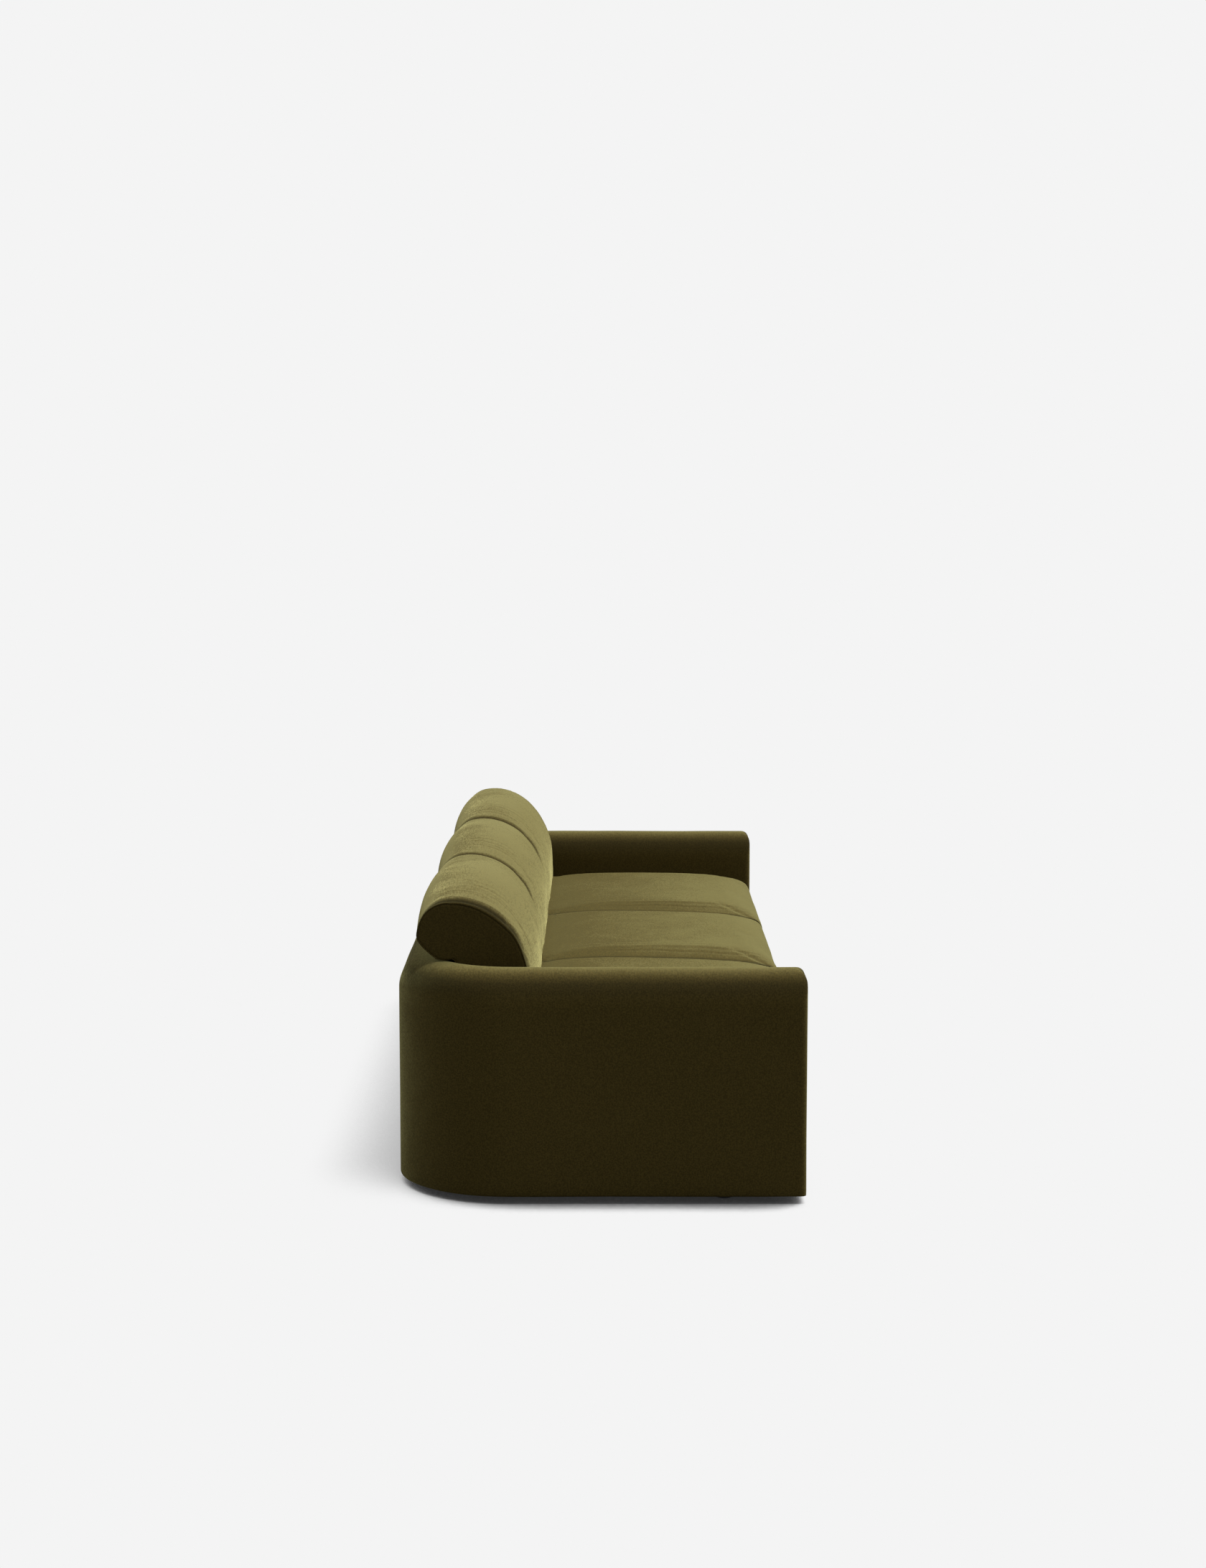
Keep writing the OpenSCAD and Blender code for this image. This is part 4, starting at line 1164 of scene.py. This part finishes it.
    def corner_stations(self, steps=24):
        """Sections round the corner, whose inside is the square of the seat's space."""
        made = []
        for i in range(steps + 1):
            turn = math.pi / 2 * i / steps
            r, z = self.outline(turn=turn).T
            x, y = self.centre.x + r * math.cos(turn), self.centre.y + r * math.sin(turn)
            made.append(np.column_stack([x, y, z]))
        return made

    def wall(self, side, loops, poles):
        wall = skin(side + "_wall_cover", np.array(loops), poles, "velvet", rings=4, groove=0.002)
        push_out(wall, lambda p: ripple(p, 8, 41) * 0.0009 + ripple(p, 30, 42) * 0.0003)
        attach(wall, side + "_unit")
        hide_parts(side + "_cover")


class SOFA_OT_front_panels(bpy.types.Operator):
    """Make the padded panels on the bases' fronts"""

    bl_idname = "sofa.front_panels"
    bl_label = "Front panels"

    def execute(self, context):
        for side in SIDES:
            self.panel(side)
        return {"FINISHED"}

    def panel(self, side):
        low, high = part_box(side + "_front_panel")
        panel = slab(side + "_front_padding", low, high, 0.009, "velvet")

        def depth(p):
            crown = ramp(p[:, 2], low.z, low.z + 0.05) * ramp(-p[:, 2], -high.z, 0.05 - high.z)
            return crown * (p[:, 1] < low.y + 0.006) * (0.0018 + ripple(p, 12, 71) * 0.0008)

        push_out(panel, depth)
        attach(panel, side + "_unit")
        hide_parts(side + "_front_panel")


class SOFA_OT_foams(bpy.types.Operator):
    """Make the foam on the walls' frames and the foam cores of the cushions"""

    bl_idname = "sofa.foams"
    bl_label = "Foam"

    # Radius of a core's edges, depth of an arm's front foam, and where a straight frame lies in its wall
    core_edge = 0.006
    nose_depth = 0.0252
    room = (0.0278, 0.1242)

    def execute(self, context):
        for side in SIDES:
            for body in (side + "_seat", side + "_bolster"):
                node = body + "_core"
                low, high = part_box(node)
                core = slab(node + "_foam", low, high, self.core_edge, "foam", cell=0.03)
                self.finish(core, node, body)
            self.run(side, side + "_back_foam")
        for side in ("left", "right"):
            self.run(side, side + "_arm_foam")
            self.nose(side, side + "_arm_foam")
            self.corner(side)
        return {"FINISHED"}

    def finish(self, piece, node, body):
        push_out(piece, lambda p: ripple(p, 26, 51) * 0.0002 - 0.0004)
        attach(piece, body)
        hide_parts(node)

    def section(self, turn=0.0, room=room, count=44):
        """Distances from a wall's inner face and heights: over the outside, then back round the frame."""
        lean = max(math.cos(turn), math.sin(turn))
        corner_r = sizes().corner_radius
        inner_r = corner_r - WALL_THICK
        near = (inner_r + FOAM_IN) / lean - inner_r
        far = WALL_THICK - FOAM_IN
        foot = WALL_LOW.z + FOAM_FOOT
        outside = [(far, foot), (far, BULL_Z)]
        for a in range(5, 180, 5):
            across = BULL_R + (BULL_R - FOAM_IN) * math.cos(math.radians(a))
            if across > near:
                outside.append((across, BULL_Z + (BULL_R - FOAM_IN) * math.sin(math.radians(a))))
        outside.append((near, min(outside[-1][1], BULL_Z + BULL_R)))
        outside.append((near, foot))
        inside = [(room[0], foot), (room[0], BULL_Z), (room[1], BULL_Z), (room[1], foot)]
        return np.vstack([even_path(outside, count), even_path(inside, count)])

    def run(self, side, node):
        """Straight foam over a frame, along X for a back wall and along Y for an arm."""
        low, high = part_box(node)
        across, up = self.section().T
        if "arm" in node:
            face_x = low.x - FOAM_IN if side == "right" else high.x + FOAM_IN
            way = 1 if side == "right" else -1
            loops = [
                np.column_stack([face_x + way * across, np.full(len(across), y), up])
                for y in np.linspace(low.y + self.nose_depth, high.y, 30)
            ]
        else:
            face_y = low.y - FOAM_IN
            loops = [
                np.column_stack([np.full(len(across), x), face_y + across, up])
                for x in np.linspace(low.x, high.x, 40)
            ]
        self.finish(channel(node + "_padding", loops, "foam"), node, side + "_unit")

    def nose(self, side, node):
        """The slab of foam on the front of an arm, with its upper corner rounded."""
        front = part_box(node)[0].y
        size = sizes()
        outer = size.corner_radius - FOAM_IN
        inner = size.corner_radius - WALL_THICK + FOAM_IN
        middle = (outer + inner) / 2
        radius, edge = size.nose_radius, size.edge_radius
        foot = WALL_LOW.z + FOAM_FOOT
        loops = []
        centre_x = WALL_HIGH.x - size.corner_radius
        way = 1 if side == "right" else -1
        for depth in (0.0, 0.001, 0.003, 0.006, 0.01, 0.015, 0.02, self.nose_depth - 0.0002):
            top = WALL_HIGH.z - FOAM_IN - radius + math.sqrt(radius ** 2 - (radius - depth) ** 2)
            inset = edge - math.sqrt(edge ** 2 - max(0, edge - depth) ** 2)
            outline = [(outer - inset, foot), (outer - inset, BULL_Z)]
            for a in range(5, 180, 5):
                r = middle + (BULL_R - FOAM_IN) * math.cos(math.radians(a))
                z = BULL_Z + (BULL_R - FOAM_IN) * math.sin(math.radians(a))
                outline.append((min(max(r, inner + inset), outer - inset), min(z, top)))
            outline += [(inner + inset, BULL_Z), (inner + inset, foot)]
            across, up = even_path(outline + outline[:1], 121)[:-1].T
            loops.append(np.column_stack([way * (centre_x + across), np.full(len(up), front + depth), up]))
        loops = np.array(loops)
        poles = [(loop.min(axis=0) + loop.max(axis=0)) / 2 for loop in (loops[0], loops[-1])]
        piece = skin(node + "_front_padding", loops, poles, "foam", rings=3)
        self.finish(piece, node, side + "_unit")

    def corner(self, side):
        """The foam round a rear corner, over its bent ribs."""
        node = side + "_corner_foam"
        radius = sizes().corner_radius
        inner_r = radius - WALL_THICK
        low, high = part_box(side + "_corner_frame")
        centre = Vector((WALL_HIGH.x - radius, WALL_HIGH.y - radius))
        far = max(abs(low.x), abs(high.x)) - centre.x
        near = far - RIB_W
        loops = []
        for i in range(25):
            turn = math.pi / 2 * i / 24
            section = self.section(turn, (near - 0.0003 - inner_r, far + 0.0003 - inner_r))
            r = inner_r + section[:, 0]
            x, y = centre.x + r * math.cos(turn), centre.y + r * math.sin(turn)
            loops.append(np.column_stack([x if side == "right" else -x, y, section[:, 1]]))
        self.finish(channel(node + "_padding", loops, "foam"), node, side + "_unit")


class SOFA_OT_cloths(bpy.types.Operator):
    """Make the webbing, the deck cloths on it and the dust cloths below the bases"""

    bl_idname = "sofa.cloths"
    bl_label = "Webbing and cloths"

    def execute(self, context):
        for side in SIDES:
            self.webbing(side)
            self.deck(side)
            self.dust(side)
        return {"FINISHED"}

    def deck(self, side):
        """A stretched sheet that dips a little between the webs that carry it."""
        low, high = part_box(side + "_deck_cloth")
        rim = Vector((DECK_IN, DECK_IN, 0))
        low, high = low + rim, high - rim
        size = high - low

        def height_at(p):
            along, across = (p[:, 0] - low.x) / size.x, (p[:, 1] - low.y) / size.y
            wave = 0.5 + 0.5 * np.sin(along * math.tau * 6) * np.sin(across * math.tau * 6)
            edge = np.minimum(np.minimum(along, 1 - along), np.minimum(across, 1 - across))
            return low.z + 0.0005 - 0.0003 * wave * np.clip(edge * 15, 0, 1)

        sheet = flat_sheet(side + "_deck_sheet", low, high, height_at, DECK_T, "cloth")
        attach(sheet, side + "_unit")
        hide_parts(side + "_deck_cloth")

    def dust(self, side):
        """A thin sheet stapled below the rails, cut out round each foot."""
        node = side + "_dust_cloth"
        low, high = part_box(node)
        holes = [(x, y, FOOT_HOLE_R) for x, y in self.feet(side) if low.x < x < high.x]

        def height_at(p):
            slack = ripple(np.column_stack([p, p[:, 0] * 0]), 14, 61)
            edge = np.minimum(p - np.array(low.xy), np.array(high.xy) - p).min(axis=1)
            return low.z + 0.0004 - 0.0002 * (1 + slack) * np.clip(edge / 0.06, 0, 1)

        sheet = flat_sheet(side + "_dust_sheet", low, high, height_at, DUST_T, "cloth", holes)
        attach(sheet, side + "_unit")
        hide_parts(node)

    def feet(self, side):
        """The middles of a unit's feet in X and Y."""
        piece = frame["nodes"][side + "_feet"]
        left = np.array([(piece.matrix_world @ vertex.co)[:2] for vertex in piece.data.vertices])
        places = []
        while len(left):
            near = np.linalg.norm(left - left[0], axis=1) < 0.1
            places.append((left[near].min(axis=0) + left[near].max(axis=0)) / 2)
            left = left[~near]
        return places

    def webbing(self, side):
        """Elastic webs from rail to rail, woven over and under each other."""
        node = side + "_webbing"
        low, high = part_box(node)
        height = (low.z + high.z) / 2
        points, faces = [], []
        for way, other in ((0, 1), (1, 0)):
            crossings = self.places(low[other], high[other])
            for i, place in enumerate(self.places(low[way], high[way])):
                pitch = crossings[1] - crossings[0]
                run = np.linspace(low[other], high[other], 90)
                phase = (run - crossings[0]) / pitch
                weave = np.cos(math.pi * phase) * (-1) ** (i + way)
                past = np.maximum(crossings[0] - run, run - crossings[-1])
                rest = ramp(past, WEB_W / 2 - 0.005, WEB_W / 2 + 0.01)
                middle = height + WEAVE * weave * (1 - rest) + (low.z + WEAVE - height) * rest
                self.web(points, faces, way, place, run, middle)
        made = make_piece(side + "_webs", points, faces, "cloth")
        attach(made, side + "_unit")
        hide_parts(node)

    def places(self, low, high):
        """The middles of the webs across a width between two rails."""
        first, last = low + RAIL_T + WEB_W / 2, high - RAIL_T - WEB_W / 2
        return [first + (last - first) * i / (WEB_COUNT - 1) for i in range(WEB_COUNT)]

    def web(self, points, faces, way, place, run, middle):
        """Adds one flat web with thin edges to the lists of points and faces."""
        half = WEB_W / 2
        upper = [
            (-half, 0), (-half + 0.002, 1), (-half * 0.4, 1), (half * 0.4, 1), (half - 0.002, 1), (half, 0),
        ]
        section = np.array(upper + [(a, -b) for a, b in reversed(upper[1:-1])])
        rows = []
        for along, z in zip(run, middle):
            row = [place + section[:, 0], np.full(len(section), along), z + section[:, 1] * WEB_HALF_T]
            rows.append(np.column_stack(row if way == 0 else [row[1], row[0], row[2]]))
        rows = np.array(rows)
        made, around = closed_rows(rows, [rows[0].mean(axis=0), rows[-1].mean(axis=0)])
        start = len(points)
        points += made.tolist()
        faces += [tuple(start + v for v in face) for face in around]


class SOFA_OT_inner_parts(bpy.types.Operator):
    """Give the frames, rails, feet and metal parts their materials"""

    bl_idname = "sofa.inner_parts"
    bl_label = "Inner parts"

    def execute(self, context):
        slots = {part["node"]: part["material_slot"] for part in frame["record"]["subparts"]}
        for name, piece in frame["nodes"].items():
            if piece.hide_render:
                continue
            piece.data.materials.clear()
            piece.data.materials.append(material(slots[name]))
        return {"FINISHED"}


class SOFA_PT_panel(bpy.types.Panel):
    """The sidebar's buttons and settings for the sofa"""

    bl_idname = "SOFA_PT_panel"
    bl_label = "Modular sofa"
    bl_space_type = "VIEW_3D"
    bl_region_type = "UI"
    bl_category = "Sofa"

    def draw(self, context):
        layout = self.layout
        for owner in (context.scene.sofa_sizes, context.scene.sofa_colours):
            box = layout.box()
            for name in owner.bl_rna.properties.keys():
                if name not in ("rna_type", "name"):
                    box.prop(owner, name)
        for operator in STEPS:
            layout.operator(operator.bl_idname)


STEPS = (
    SOFA_OT_stage, SOFA_OT_walls, SOFA_OT_front_panels, SOFA_OT_seats, SOFA_OT_bolsters, SOFA_OT_foams,
    SOFA_OT_cloths, SOFA_OT_inner_parts,
)
CLASSES = (SofaSizes, SofaColours, *STEPS, SOFA_PT_panel)


def register():
    for cls in CLASSES:
        bpy.utils.register_class(cls)
    bpy.types.Scene.sofa_sizes = PointerProperty(type=SofaSizes)
    bpy.types.Scene.sofa_colours = PointerProperty(type=SofaColours)


def unregister():
    del bpy.types.Scene.sofa_colours
    del bpy.types.Scene.sofa_sizes
    for cls in reversed(CLASSES):
        bpy.utils.unregister_class(cls)


def main():
    register()
    bpy.ops.sofa.stage()
    bpy.ops.sofa.walls()
    bpy.ops.sofa.front_panels()
    bpy.ops.sofa.seats()
    bpy.ops.sofa.bolsters()
    bpy.ops.sofa.foams()
    bpy.ops.sofa.cloths()
    bpy.ops.sofa.inner_parts()


if __name__ == "__main__":
    main()
